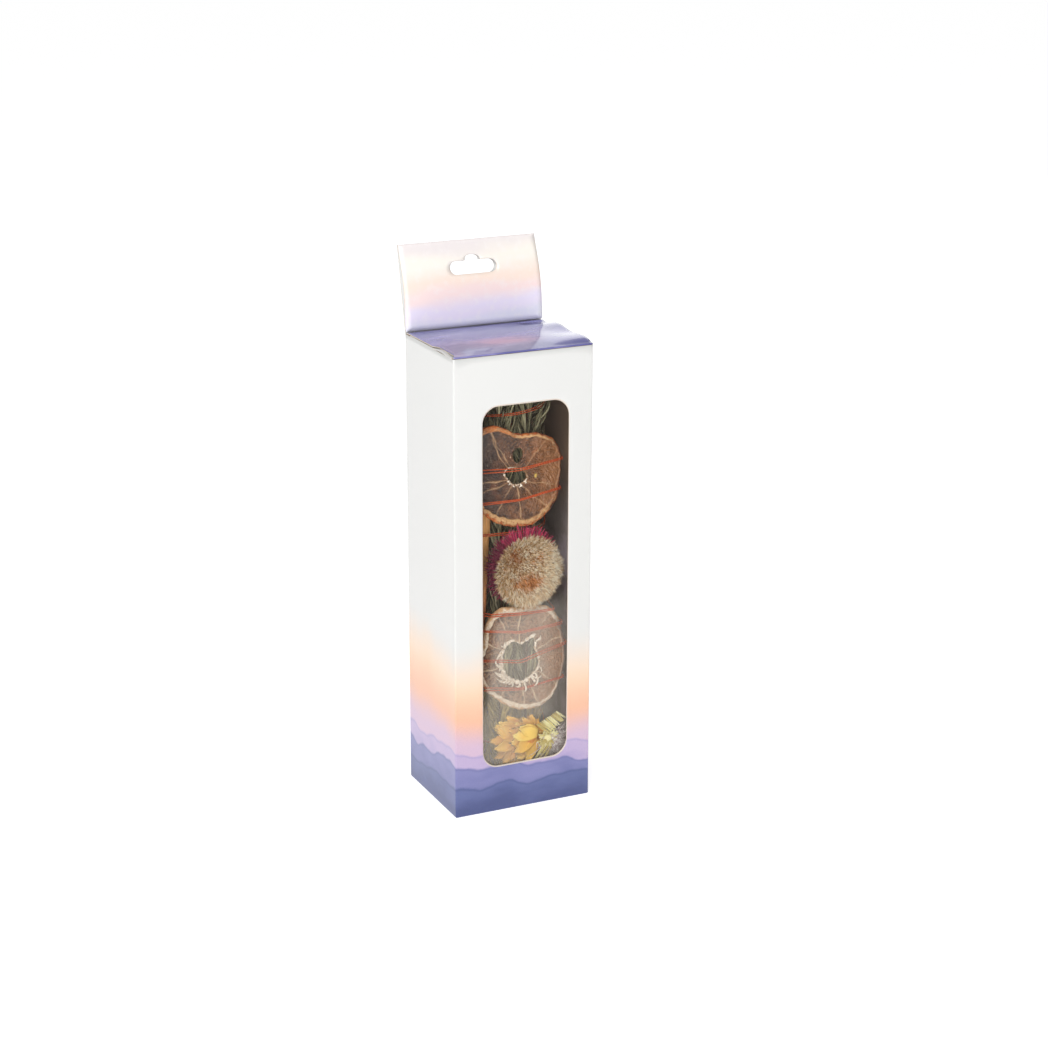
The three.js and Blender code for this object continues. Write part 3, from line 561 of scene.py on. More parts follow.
def lid_print():
    """The lid's glossy violet wash, with a soft rose cloud."""
    finish = Finish("lid_print", roughness=0.22, coat_weight=0.8, coat_roughness=0.07)
    where = finish.place()
    cloud = finish.noise(finish.place((0.5, 1, 1)), 13, detail=4.0, distortion=0.4)
    x, y, _ = finish.axes(where)
    rose = (1 - ((y + 12) / 9).absolute().smooth(0.2, 1)) * (1 - ((x + 4) / 26).absolute().smooth(0.2, 1))
    finish.feed("Base Color", finish.layers(
        tone(96, 96, 160),
        (tone(140, 136, 194), cloud.smooth(0.36, 0.66)),
        (tone(186, 138, 178), rose * cloud.smooth(0.3, 0.6) * 0.8)))
    finish.bump(finish.noise(where, 1.1), distance=0.008)
    return finish


def plain_board(settings):
    """Coated white board with no print."""
    finish = Finish("plain_board", roughness=0.36, coat_weight=0.2, coat_roughness=0.25)
    mottle = finish.noise(finish.place(), 5, detail=4.0)
    finish.feed("Base Color", finish.mix(darker(settings.white, 0.97), settings.white, mottle))
    return finish


def clear_film(settings):
    """Clear film with a painted reflection over its lower half: a warm whitish haze with a soft slanting
    edge that stands in for the bright floor mirrored in the film. The painted reflection is thinner at the
    right and where the yellow flower presses on the film."""
    finish = Finish("clear_film", base_color=tone(236, 226, 212), roughness=0.12)
    where = finish.place()
    x, _, z = finish.axes(where)
    wander = finish.noise(where, 22) * 12 - 6
    below = 1 - (z + wander * 0.7 - x * 0.2).smooth(98, 111)
    inside = (x + 14 + (104 - z) * 0.12 + wander * 0.2).smooth(-4, 3)
    low = 1 - z.smooth(48, 62)
    cloud = finish.noise(where, 9, detail=4.0) * 0.5 + 0.72
    pressed = 1 - (((x - 9) / 15) ** 2 + ((z - 35) / 15) ** 2).smooth(0.15, 1.1)
    # Painted reflection: this mask lays the film's warm whitish colour over its lower half, standing in for
    # the bright floor mirrored in the film
    reflecting = below * (inside + low - inside * low) * cloud
    glare_mask = reflecting * (1 - pressed * 0.72) * (1 - x.smooth(10, 22) * 0.55)
    finish.feed("Alpha", glare_mask * settings.glare + 0.008)
    finish.feed("Roughness", glare_mask * 0.3 + 0.06)
    finish.bump(finish.noise(finish.place((1, 1, 0.4)), 16, detail=2.0), distance=0.25)
    return finish


# Carton shapes

def rounded_outline(left, right, low, high, corner, steps=60):
    """Closed outline of a rectangle with round corners, anticlockwise with X right and Z up."""
    arc = np.linspace(0, np.pi / 2, steps)
    middles = [(right - corner, low + corner, -np.pi / 2), (right - corner, high - corner, 0),
               (left + corner, high - corner, np.pi / 2), (left + corner, low + corner, np.pi)]
    return np.concatenate([np.c_[x + corner * np.cos(arc + a), z + corner * np.sin(arc + a)]
                           for x, z, a in middles])


def slot_outline():
    """Closed outline of the peg slot up the tab: a bar with round ends and a hump."""
    r = (SLOT["high"] - SLOT["low"]) / 2
    half = SLOT["width"] / 2 - r
    arc = np.linspace(-np.pi / 2, np.pi / 2, 40)
    share = np.linspace(0, 1, 20)
    right_end = np.c_[half + r * np.cos(arc), SLOT["low"] + r + r * np.sin(arc)]
    hump_x = SLOT["hump"] * (1 - share ** 2)
    hump_z = SLOT["high"] + (SLOT["hump_top"] - SLOT["high"]) * (1 - (1 - share) ** 2)
    right_hump = np.c_[hump_x, hump_z]
    left_hump = np.c_[-hump_x[::-1], hump_z[::-1]]
    left_end = right_end * (-1, 1)
    outline = np.concatenate([right_end, right_hump, left_hump[1:], left_end[::-1]])
    return outline + (SLOT["centre"], 0)


def rectangle_points(xs, zs):
    """Points round a rectangle's edge, anticlockwise from its lower left corner."""
    low, high = np.full(len(xs) - 1, zs[0]), np.full(len(xs) - 1, zs[-1])
    left, right = np.full(len(zs) - 1, xs[0]), np.full(len(zs) - 1, xs[-1])
    return np.concatenate([np.c_[xs[:-1], low], np.c_[right, zs[:-1]],
                           np.c_[xs[::-1][:-1], high], np.c_[left, zs[::-1][:-1]]])


def panel_with_hole(xs, zs, hole, lip=0.0):
    """A flat panel round a hole: each point of its edge is joined to the hole's edge in the same direction.
    With a lip, a share of the way, the innermost band of faces is that narrow."""
    rings = PANEL_STEPS["hole_rings"]
    middle = (hole.min(axis=0) + hole.max(axis=0)) / 2
    closed = np.concatenate([hole, hole[:1]])
    length = line_length(closed)
    fine = np.linspace(0, length[-1], PANEL_STEPS["hole_edge"], endpoint=False)
    away = np.c_[np.interp(fine, length, closed[:, 0]), np.interp(fine, length, closed[:, 1])] - middle
    angles = np.arctan2(away[:, 1], away[:, 0])
    order = np.argsort(angles)
    edge = rectangle_points(xs, zs)
    toward = np.arctan2(edge[:, 1] - middle[1], edge[:, 0] - middle[0])
    radius = np.interp(toward, angles[order], np.linalg.norm(away, axis=1)[order], period=2 * np.pi)
    inner = middle + radius[:, None] * np.c_[np.cos(toward), np.sin(toward)]
    share = np.linspace(0, 1, rings)
    if lip:
        share = np.r_[0, np.linspace(lip, 1, rings - 1)]
    flat = (inner * (1 - share[:, None, None]) + edge * share[:, None, None]).reshape(-1, 2)
    return flat, grid_faces(rings, len(edge), close_columns=True)


def bowed(across, half, up, bow):
    """How far a wall bows out at places on it: most in its middle, nothing at its edges."""
    return bow * (1 - (across / half) ** 2) * (1 - (2 * up / WALL_TOP - 1) ** 4)


def carton_walls():
    """Outside of the carton's walls and base, the front one round its window, welded at the creases. The
    first faces are the lip round the window, where the cut shows the board's core. Their count comes too."""
    bow, side_bow, lip_dent = 0.3, 0.35, 0.18
    xs = np.linspace(-HALF_X, HALF_X, PANEL_STEPS["across"])
    ys = np.linspace(-HALF_Y, HALF_Y, PANEL_STEPS["deep"])
    zs = np.linspace(0, WALL_TOP, PANEL_STEPS["up"])
    hole = rounded_outline(WINDOW["left"], WINDOW["right"], WINDOW["bottom"], WINDOW["top"], WINDOW["corner"])
    flat, faces = panel_with_hole(xs, zs, hole, WINDOW["lip"])
    x, z = flat.T
    lip_count = len(rectangle_points(xs, zs))
    out = bowed(x, HALF_X, z, bow)
    out[:lip_count] -= lip_dent
    across, up = sheet_places(xs, zs)
    deep, deep_up = sheet_places(ys, zs)
    base_x, base_y = sheet_places(xs, ys)
    side_out = HALF_X + bowed(deep, HALF_Y, deep_up, side_bow)
    wide, side, base = [grid_faces(len(b), len(a)) for a, b in ((xs, zs), (ys, zs), (xs, ys))]
    return weld(*gather([
        (np.c_[x, -HALF_Y - out, z], [faces[:, ::-1]]),
        (np.c_[-side_out, deep, deep_up], [side[:, ::-1]]),
        (np.c_[side_out, deep, deep_up], [side]),
        (np.c_[across, HALF_Y + bowed(across, HALF_X, up, bow), up], [wide[:, ::-1]]),
        (np.c_[base_x, base_y, 0 * base_y], [base[:, ::-1]])])), lip_count


def tab_stand(up):
    """How far the tab's front layer stands off the rear one, at a height up the tab."""
    share = np.clip(up / TAB["length"], 0, 1)
    swell = np.sin(np.pi * np.minimum(1, share * 1.02)).clip(0) ** 1.2
    return TAB["foot_gap"] * (1 - share) + TAB["splay"] * swell


def tab_place(x, forward, up):
    """Turns a place on the tab, forward of its rear face and up from its foot, into the carton's frame."""
    lean = TAB["lean"]
    y = HALF_Y - forward * math.cos(lean) + up * math.sin(lean)
    z = TAB["foot"] + up * math.cos(lean) + forward * math.sin(lean)
    return np.stack(np.broadcast_arrays(x, y, z), axis=-1)


def tab_sheet():
    """Outside of the hang tab: a rear layer, a fold over the top and a front layer, each round its slot."""
    xs = np.linspace(-HALF_X, HALF_X, PANEL_STEPS["across"])
    top = TAB["length"] - TAB["fold"]
    rear, front = [panel_with_hole(xs, np.linspace(foot, top, PANEL_STEPS["deep"]), slot_outline())
                   for foot in (TAB["rear_start"], TAB["front_start"])]
    flat, faces = rear
    parts = [(tab_place(flat[:, 0], 0 * flat[:, 0], flat[:, 1]), [faces])]
    flat, faces = front
    curl = 0.5 * (flat[:, 0] / HALF_X) * smooth(-flat[:, 1], -30, 0)
    forward = 2 * BOARD + tab_stand(flat[:, 1]) + curl
    parts.append((tab_place(flat[:, 0], forward, flat[:, 1]), [faces[:, ::-1]]))
    reach = (2 * BOARD + tab_stand(top)) / 2
    turn = np.linspace(0, np.pi, 9)[:, None]
    fold = tab_place(xs[None], reach * (1 - np.cos(turn)), top + TAB["fold"] * np.sin(turn))
    parts.append((fold.reshape(-1, 3), [grid_faces(len(turn), len(xs))[:, ::-1]]))
    return weld(*gather(parts))


def lid_bow(y):
    """How far the lid bows up at a place from front to rear."""
    share = np.clip((y - LID["front"]) / (LID["rear"] - LID["front"]), 0, 1)
    return LID["bow"] * np.sin(np.pi * share) * (1 - 0.55 * share)


def lid_profile():
    """The lid's line from its front crease to the end of its tongue, as Y, Z and half width."""
    crease_radius, corner, lean = LID["crease"], TONGUE["corner"], TONGUE["lean"]
    straight = TONGUE["drop"] - corner
    turn = np.linspace(np.pi, np.pi / 2, 7)
    low = LID["top"] - crease_radius
    crease = np.c_[LID["front"] + crease_radius * np.cos(turn), low + crease_radius * np.sin(turn)]
    y = np.linspace(LID["front"], LID["rear"], 57)[1:-1]
    panel = np.c_[y, LID["top"] + lid_bow(y)]
    turn = np.linspace(np.pi / 2, 0, 7)
    rear = np.c_[LID["rear"] + crease_radius * np.cos(turn), low + crease_radius * np.sin(turn)]
    rounding = straight + corner * np.sin(np.linspace(0, np.pi / 2, 16))
    down = np.concatenate([[0.25, 0.3], np.linspace(0.8, straight, 6)[:-1], rounding])
    tongue = rear[-1] - down[:, None] * (math.sin(lean), math.cos(lean))
    line = np.concatenate([crease, panel, rear, tongue])
    past = np.clip(down - straight, 0, corner)
    half = np.full(len(line), LID["half"])
    half[-len(down):] = TONGUE["half"] - corner + np.sqrt((corner ** 2 - past ** 2).clip(0.04))
    half[-len(down)] = LID["half"]
    return line, half


def lid_sheet():
    """Outside of the lid and its tongue: the profile drawn across the carton. The right edge waves, and the
    left front edge is set in, where the dust flap's crease shows."""
    line, half = lid_profile()
    share = np.linspace(-1, 1, 61)
    y, z = line[:, :1], line[:, 1:]
    set_in = 2.0 * smooth(-y, 4, 8) * (1 - smooth(-y, 26, 29.3))
    x = share * half[:, None] + set_in * smooth(-share, 0.75, 1)
    on_panel = smooth(y, -29, -25) * (1 - smooth(y, 23, 27.4)) * (z > LID["top"] - 0.01)
    wave = 0.75 * np.sin((y + 30) * 0.2) * smooth(share, 0.35, 1) * on_panel
    bow = -lid_bow(y) * 0.85 * smooth(-share, 0.6, 1) * (z > LID["top"] - 0.01)
    points = np.stack(np.broadcast_arrays(x, y, z + wave + bow), axis=-1)
    return points.reshape(-1, 3), [grid_faces(len(line), len(share))]


def flap_sheet(side):
    """Outside of a dust flap: over the side wall's crease, then inwards, tapering to its free edge."""
    radius, rise, gap = FLAP["crease"], 0.35, 0.9
    turn = np.linspace(0, np.pi / 2, 6)
    crease = np.c_[HALF_X - radius + radius * np.cos(turn), WALL_TOP + rise * np.sin(turn)]
    inward = np.linspace(gap, FLAP["reach"] + gap, 40)
    level = WALL_TOP + rise * np.exp(-inward / 3) - 0.05
    line = np.concatenate([crease, np.c_[HALF_X - inward, level]])
    along = np.clip((HALF_X - gap - line[:, 0]) / FLAP["reach"], 0, 1)[:, None]
    front = FLAP["front"] + FLAP["taper"] * along
    rear = FLAP["rear"] - FLAP["rear_taper"] * along
    share = np.linspace(0, 1, 41)
    y = front + (rear - front) * share
    bulge = 0.8 * np.exp(-((HALF_X - 1.6 - line[:, :1]) / 2.2) ** 2) * np.exp(-((y + 14) / 7) ** 2)
    x, z = side * line[:, :1] + 0 * y, line[:, 1:] + bulge
    faces = grid_faces(len(line), len(share))
    points = np.stack(np.broadcast_arrays(x, y, z), axis=-1).reshape(-1, 3)
    return points, [faces if side > 0 else faces[:, ::-1]]


def film_sheet():
    """The window's film: a sheet in the CAD film's place, with a faint ripple."""
    low, high = box_mm("window_film")
    xs, zs = np.linspace(low[0], high[0], 41), np.linspace(low[2], high[2], 121)
    x, z = sheet_places(xs, zs)
    ripple = 0.12 * waves(np.c_[x, z], 26, seed=5)
    return np.c_[x, low[1] + 0.1 + ripple.clip(-0.1, 0.2), z], [grid_faces(len(zs), len(xs))]


class SMUDGE_OT_carton(bpy.types.Operator):
    """Builds the carton's walls, hang tab and window film"""
    bl_idname = "smudge.carton"
    bl_label = "Carton"

    def execute(self, context):
        settings = context.scene.smudge_carton
        inside, edge = inner_board(settings), cut_edge()
        sheet, lip_count = carton_walls()
        walls = add_piece("carton_shell", sheet, [printed_board(settings), inside, edge],
                          ["carton_body"])
        material = np.zeros(len(walls.data.polygons), dtype=np.int32)
        material[:lip_count] = 2
        walls.data.polygons.foreach_set("material_index", material)
        bevel = walls.modifiers.new("creases", "BEVEL")
        bevel.width = settings.crease
        bevel.segments = 3
        bevel.limit_method = "ANGLE"
        bevel.angle_limit = math.radians(50)
        give_board(walls, BOARD)
        tab_finishes = [tab_print(), plain_board(settings), edge]
        give_board(add_piece("hang_tab_folded", tab_sheet(), tab_finishes, ["hang_tab"]), THIN_BOARD)
        film = add_piece("clear_window_film", film_sheet(), [clear_film(settings)], ["window_film"])
        thickness = give_board(film, FILM)
        thickness.material_offset = 0
        thickness.material_offset_rim = 0
        return {"FINISHED"}


class SMUDGE_OT_lid(bpy.types.Operator):
    """Builds the lid with its tongue, and the two dust flaps"""
    bl_idname = "smudge.lid"
    bl_label = "Lid and dust flaps"

    def execute(self, context):
        settings = context.scene.smudge_carton
        plain, inside, edge = plain_board(settings), inner_board(settings), cut_edge()
        lid = add_piece("lid_with_tongue", lid_sheet(), [lid_print(), inside, edge],
                        ["lid_panel", "tuck_tongue"], body="lid")
        give_board(lid, LID_BOARD)
        for side, name in ((-1, "left"), (1, "right")):
            flap = add_piece(f"dust_flap_{name}_folded", flap_sheet(side), [plain, inside, edge],
                             [f"dust_flap_{name}"], body=f"flap_{name}")
            give_board(flap, THIN_BOARD)
        return {"FINISHED"}


# Stick finishes

def rosemary_finish(settings):
    """Dried needles, each with its own shade, darker where they leave the stem, yellower low down, and brown
    woody stems."""
    finish = Finish("rosemary", roughness=0.7)
    shade, along, woody = finish.attributes("shade", "along", "woody")
    z = finish.axes(finish.place())[2]
    green = finish.layers(
        darker(settings.needle_green, 0.35),
        (settings.needle_green, shade.smooth(0.0, 0.45)),
        (tone(206, 198, 156), shade.smooth(0.4, 0.7)),
        (tone(224, 216, 184), shade.smooth(0.84, 1.0) * 0.9),
        (tone(226, 198, 104), (1 - z.smooth(46, 60)) * 0.85),
        (tone(58, 42, 28), (1 - along.smooth(0.0, 0.35)) * 0.8),
        (tone(150, 112, 74), along.smooth(0.8, 1.0) * 0.4))
    fibre = finish.noise(finish.place((1, 1, 0.2)), 0.5, detail=4.0)
    bark = finish.mix(tone(58, 38, 27), tone(128, 92, 62), fibre.smooth(0.35, 0.65))
    finish.feed("Base Color", finish.mix(green, bark, woody))
    finish.bump(fibre, distance=0.05)
    return finish


def wood_finish(settings):
    """Split palo santo with grain and dark resin streaks: honey at the top, and darker and redder towards
    the foot, where painted shade stands in for the shadow on the lower stick.
    """
    finish = Finish("palo_santo", roughness=0.6)
    z = finish.axes(finish.place())[2]
    grain = finish.noise(finish.place((1, 1, 0.06)), 0.9, detail=6.0, roughness=0.65)
    broad = finish.noise(finish.place((1, 1, 0.05)), 3.5, distortion=0.6)
    honey = finish.mix(darker(settings.wood, 0.6), settings.wood, grain.smooth(0.32, 0.62))
    red = finish.mix(tone(146, 74, 40), tone(206, 126, 72), grain.smooth(0.35, 0.65))
    finish.feed("Base Color", finish.layers(
        red,
        # Painted shade: the darker, redder foot of the stick stands in for the shade it lies in
        (honey, (z + broad * 30).smooth(112, 150)),
        (tone(92, 46, 24), broad.smooth(0.58, 0.7) * 0.6)))
    finish.feed("Roughness", 0.72 - broad.smooth(0.56, 0.68) * 0.3)
    finish.bump(grain, distance=0.14)
    return finish


def orange_finish(settings):
    """Dried orange: glassy brown flesh with pale specks, tan membranes, cream pith with small pits, and skin
    that runs from tan to orange-brown. The lower slice is paler. Painted shade darkens the rim at the right,
    painted light lightens the flesh towards the right, and a painted shadow darkens the upper slice's flesh
    at the left."""
    finish = Finish("dried_orange", roughness=0.5)
    labels = ("skin", "pith", "membrane", "cell", "seed", "dusk", "pale")
    skin, pith, membrane, cell, seed, dusk, pale = finish.attributes(*labels)
    where = finish.place()
    x = finish.axes(where)[0]
    mottle = finish.noise(where, 6, detail=5.0, roughness=0.6)
    fine = finish.noise(where, 0.7, detail=4.0, roughness=0.65)
    coarse = finish.noise(where, 1.6)
    speck = finish.noise(where, 0.55, detail=1.0)
    cloud = finish.noise(where, 8, detail=2.0)
    pits = finish.noise(where, 1.3, detail=2.0).smooth(0.56, 0.66)
    flesh = finish.layers(
        darker(settings.flesh, 0.25),
        (settings.flesh, mottle.smooth(0.34, 0.6)),
        (tone(150, 100, 62), cell.smooth(0.45, 1.0) * 0.6),
        (tone(58, 34, 20), coarse.smooth(0.52, 0.66) * 0.55),
        (tone(180, 100, 48), cloud.smooth(0.6, 0.78) * 0.45),
        # Painted light: the flesh is lighter towards the right
        (tone(178, 122, 78), (x * 0.05 + mottle).smooth(0.7, 1.9) * 0.65),
        # Painted shadow: the upper slice's flesh darkens towards the left, in the shadow of the window's left
        # edge
        (tone(40, 22, 16), (1 - (x * 0.06 + mottle).smooth(-0.6, 0.8)) * (1 - pale) * 0.9),
        (tone(176, 140, 108), pale * coarse.smooth(0.42, 0.6) * 0.6),
        (tone(226, 204, 176), speck.smooth(0.71, 0.76) * 0.8))
    web = finish.layers(
        tone(150, 104, 66),
        (tone(216, 176, 132), fine.smooth(0.3, 0.65)),
        (tone(244, 224, 190), pale * 0.6))
    bright = finish.mix(tone(206, 176, 142), tone(240, 226, 204), fine.smooth(0.3, 0.6))
    cream = finish.layers(
        tone(160, 110, 64),
        (settings.pith, fine.smooth(0.25, 0.6)),
        (bright, pale),
        (tone(138, 72, 34), pits * (1 - pale * 0.6) * 0.75))
    rind = finish.layers(
        tone(120, 54, 22),
        (tone(200, 108, 44), (fine * 0.5 + mottle * 0.5).smooth(0.38, 0.6)),
        (tone(214, 176, 130), pale * 0.75))
    # Painted shade for the rim at the right of each slice
    shaded = finish.mix(tone(66, 32, 18), tone(140, 68, 30), fine.smooth(0.4, 0.65))
    finish.feed("Base Color", finish.layers(
        flesh, (web, membrane), (cream, pith), (rind, skin), (shaded, dusk), (tone(222, 186, 92), seed)))
    finish.feed("Roughness", pith * 0.35 + 0.42)
    finish.bump(fine * 0.6 + cell * 0.4, distance=0.3)
    return finish


def membrane_finish():
    """Curled cream membranes round the slices' holes."""
    finish = Finish("curled_membrane", roughness=0.7)
    fine = finish.noise(finish.place(), 0.9, detail=4.0)
    finish.feed("Base Color", finish.mix(tone(206, 172, 138), tone(250, 240, 222), fine.smooth(0.32, 0.56)))
    finish.bump(fine, distance=0.1)
    return finish


def petal_finish(name, dark, light, tip_colour, ribs_share=0.22):
    """Papery bracts: dark at the root and lighter outwards, with dark ribs along them. Some take the tip
    colour, most of all near their ends."""
    finish = Finish(name, roughness=0.62)
    shade, along, across = finish.attributes("shade", "along", "across")
    ribs = (across * 38).sine() * 0.5 + 0.5
    finish.feed("Base Color", finish.layers(
        dark,
        (light, (along * 0.6 + shade * 0.6).smooth(0.15, 0.9)),
        (tip_colour, (along.smooth(0.5, 1.0) * 0.4 + 0.6) * shade.smooth(0.5, 1.0)),
        (darker(dark, 0.7), ribs.smooth(0.7, 1.0) * ribs_share)))
    finish.bump(ribs, distance=0.05)
    return finish


def fluff_finish():
    """Seed fluff: brown at the roots, tan to cream at the tips, with orange-brown and cream patches."""
    finish = Finish("seed_fluff", roughness=0.9)
    shade, along, patch = finish.attributes("shade", "along", "patch")
    rust = finish.mix(tone(150, 80, 34), tone(244, 166, 92), shade.smooth(0.1, 0.9))
    tips = finish.layers(
        tone(172, 132, 88),
        (tone(238, 210, 166), shade.smooth(0.05, 0.5)),
        (tone(255, 250, 232), shade.smooth(0.55, 0.95)),
        (rust, patch.smooth(0.3, 0.75) * 0.9),
        (tone(255, 250, 226), (0 - patch).smooth(0.3, 0.8) * 0.85))
    finish.feed("Base Color", finish.mix(tone(128, 88, 54), tips, along.smooth(0.05, 0.6)))
    return finish


def hair_finish():
    """Fine lilac-white hairs."""
    finish = Finish("lilac_hairs", roughness=0.8)
    strands = finish.noise(finish.place(), 1.1, detail=2.0)
    finish.feed("Base Color", finish.mix(tone(190, 168, 168), tone(255, 250, 246), strands.smooth(0.4, 0.6)))
    return finish


def thread_finish(settings):
    """Twisted cotton: fibres that run slantwise round the strand."""
    finish = Finish("cotton_thread", roughness=0.75)
    along, turn = finish.attributes("along", "turn")
    twist = (along * 4.2 + turn * 6.2832).sine() * 0.5 + 0.5
    finish.feed("Base Color", finish.mix(darker(settings.thread, 0.55), settings.thread,
                                         twist.smooth(0.05, 0.6)))
    finish.bump(twist, distance=0.1)
    return finish


# Stick shapes

def needle_field(rng, stem_at, heights, turns, reaches, lengths, half_width):
    """Needles of a sprig: each leaves the stem outwards, turns up and curls a little to one side.

    The distance out grows as 1 - (1 - t) ** 2.4 along a needle and the height as t. The section is an
    oval, widest a little before the needle's middle.
    """
    rows = 7
    t = np.linspace(0, 1, rows)[None, :]
    out = np.c_[np.cos(turns), np.sin(turns), 0 * turns]
    side = np.c_[-np.sin(turns), np.cos(turns), 0 * turns]
    away = 0.8 + (reaches[:, None] - 0.8) * (1 - (1 - t) ** 2.4)
    droop = rng.normal(0, 0.10, len(heights))[:, None] * lengths[:, None] * t ** 2
    curl = rng.normal(0, 0.09, len(heights))[:, None] * lengths[:, None] * t ** 2
    root = stem_at(heights)
    centres = root[:, None] + away[..., None] * out[:, None] + curl[..., None] * side[:, None]
    centres[..., 2] += lengths[:, None] * t + droop
    width = half_width * (0.45 + 1.1 * np.sin(np.pi * np.minimum(1, t * 1.04 + 0.06)) ** 0.7).clip(0.12)
    width = width * rng.uniform(0.75, 1.25, (len(heights), 1)) * (1 - 0.93 * t ** 6)
    face = unit(out + 0.5 * rng.normal(size=out.shape))[:, None]
    return blade_rings(centres, np.broadcast_to(face, centres.shape), width, 0.42 * width, 4), t


def sprig_parts(number, layer, half_width):
    """One rosemary sprig as (points, faces, values). The needles at the bundle's right reach further."""
    rng = np.random.default_rng(SEEDS["sprig"] + number)
    central = number == len(SPRIG_TOPS) - 1
    turn = math.radians(BUNDLE["turn"] + number * 60)
    pitch = 0 if central else BUNDLE["pitch"]
    foot = np.array([BUNDLE["x"] + pitch * BUNDLE["wide"] * math.cos(turn),
                     BUNDLE["y"] + pitch * math.sin(turn)])
    drift = np.array([math.cos(turn), math.sin(turn)]) * (0 if central else SPRIG["lean"])
    top = SPRIG_TOPS[number] - SPRIG["tuft_height"]
    phase = rng.uniform(0, 6.28, 2)

    def stem_at(z):
        spread = smooth(z, 185, 232)[..., None] * drift
        wander = 0.7 * np.stack([np.sin(z / 31 + phase[0]), np.sin(z / 37 + phase[1])], axis=-1)
        place = foot + spread + wander
        return np.concatenate([place, np.asarray(z)[..., None]], axis=-1)

    whorl, tuft = SPRIG["whorl"], SPRIG["tuft"]
    levels = np.arange(8, top - 2, layer * (2.2 if central else 1))
    heights = np.repeat(levels, whorl) + rng.uniform(-0.9, 0.9, whorl * len(levels))
    in_whorl = np.tile(np.arange(whorl) * 2 / whorl, len(levels)) * np.pi
    turns = np.repeat(levels * SPRIG["whorl_turn"], whorl) + in_whorl
    turns = turns + rng.normal(0, 0.28, len(turns))
    outward = smooth(foot[0] - BUNDLE["x"], 2, 12) * smooth(np.cos(turns), 0.1, 0.8)
    spread = outward * (0.4 + 0.6 * smooth(heights, 180, 196))
    reaches = rng.uniform(4.4, 7.9, len(turns)) + 6.0 * spread * rng.uniform(0.2, 1, len(turns))
    lengths = rng.uniform(11, 20, len(turns))
    heights = np.concatenate([heights, top - rng.uniform(0, 7, tuft)])
    turns = np.concatenate([turns, rng.uniform(0, 6.28, tuft)])
    reaches = np.concatenate([reaches, rng.uniform(1.2, 5.6, tuft)])
    lengths = np.concatenate([lengths, rng.uniform(12, 17, tuft)])
    rings, t = needle_field(rng, stem_at, heights, turns, reaches, lengths, half_width)
    needles = tubes(rings)
    z = np.linspace(1, top, SPRIG["stem_rings"])
    line = stem_at(z)[None]
    radius = (1.25 - 0.5 * z / top + 0.12 * np.sin(z * 1.9))[None]
    stem = tubes(blade_rings(line, np.broadcast_to([1.0, 0, 0], line.shape), radius, radius, 8))
    shade = np.repeat(rng.uniform(0, 1, len(heights)), rings.shape[1] * rings.shape[2])
    along = np.broadcast_to(t[..., None], rings.shape[:3]).ravel()
    blank = np.zeros(len(stem[0]))
    return (*gather([needles, stem]), {"shade": np.r_[shade, blank + 0.5], "along": np.r_[along, blank + 0.5],
                                       "woody": np.r_[0 * shade, blank + 1]})


def palo_section(z):
    """The palo santo stick's six corners at each height, as (heights, 6, 2)."""
    t = (z - PALO["foot"]) / (PALO["top"] - PALO["foot"])
    right = PALO["right_foot"] + (PALO["right_top"] - PALO["right_foot"]) * t
    wave = 0.35 * np.sin(t * 9)
    left = right - PALO["width"] + wave
    front, back = PALO["front"] + 0 * t, PALO["back"] + 0 * t
    corners = [(right, front + 1.4), (right - 1.6, front + 0.2 + wave * 0.3), (left + 2.4, front + 0.3),
               (left, front + 3.0), (left + 0.8, back - 0.6), (right - 0.5, back - wave)]
    return np.stack([np.stack(c, axis=-1) for c in corners], axis=1)


def palo_parts():
    """The split stick: its six-sided section with eased corners, long tool marks and splintered ends."""
    z = np.linspace(PALO["foot"], PALO["top"], 150)
    corners = palo_section(z)
    per_side = 12
    share = (np.arange(per_side) / per_side)[None, None, :, None]
    ring = corners[:, :, None] * (1 - share) + np.roll(corners, -1, axis=1)[:, :, None] * share
    ring = ring.reshape(len(z), -1, 2)
    for _ in range(2):
        ring = 0.5 * ring + 0.25 * (np.roll(ring, 1, axis=1) + np.roll(ring, -1, axis=1))
    middle = ring.mean(axis=1, keepdims=True)
    turn = np.arange(ring.shape[1]) / ring.shape[1]
    where = np.stack(np.broadcast_arrays(6 * np.cos(2 * np.pi * turn), 6 * np.sin(2 * np.pi * turn),
                                         z[:, None] * 0.06), axis=-1)
    relief = -0.22 * np.abs(waves(where, 3.2, seed=11)) - 0.1 * np.abs(waves(where, 1.1, seed=12))
    facets = -0.25 * np.abs(waves(np.stack(np.broadcast_arrays(turn * 5, z[:, None] * 0.09), axis=-1), 2, 14))
    ring = ring + unit(ring - middle) * (relief + facets)[..., None]
    heights = np.broadcast_to(z[:, None], ring.shape[:2]).copy()
    heights[0] += 0.8 * np.abs(waves(ring[0], 2.5, seed=15))
    heights[-1] -= 1.2 * np.abs(waves(ring[-1], 2.5, seed=16))
    rings = np.concatenate([ring, heights[..., None]], axis=-1)
    ends = []
    for row in (0, -1):
        centre = rings[row].mean(axis=0, keepdims=True)
        ends.append([centre + (rings[row] - centre) * s for s in (0.02, 0.35, 0.7)])
    rings = np.concatenate([np.stack(ends[0]), rings, np.stack(ends[1])[::-1]])
    return tubes(rings[None])


def slice_forward(slice_sizes, x, up):
    """How far a slice's middle stands forward: bent back at its sides, curled forward at its top."""
    return -slice_sizes["side_bend"] * x ** 2 + slice_sizes["curl"] * smooth(up, 14, 27)


def face_window(parts, place):
    """Turns parts that face up, with their points first, to face the window, and sets them in place."""
    x, y, z = parts[0].T
    return (np.stack([place[0] + x, place[1] - z, place[2] + y], axis=-1), *parts[1:])


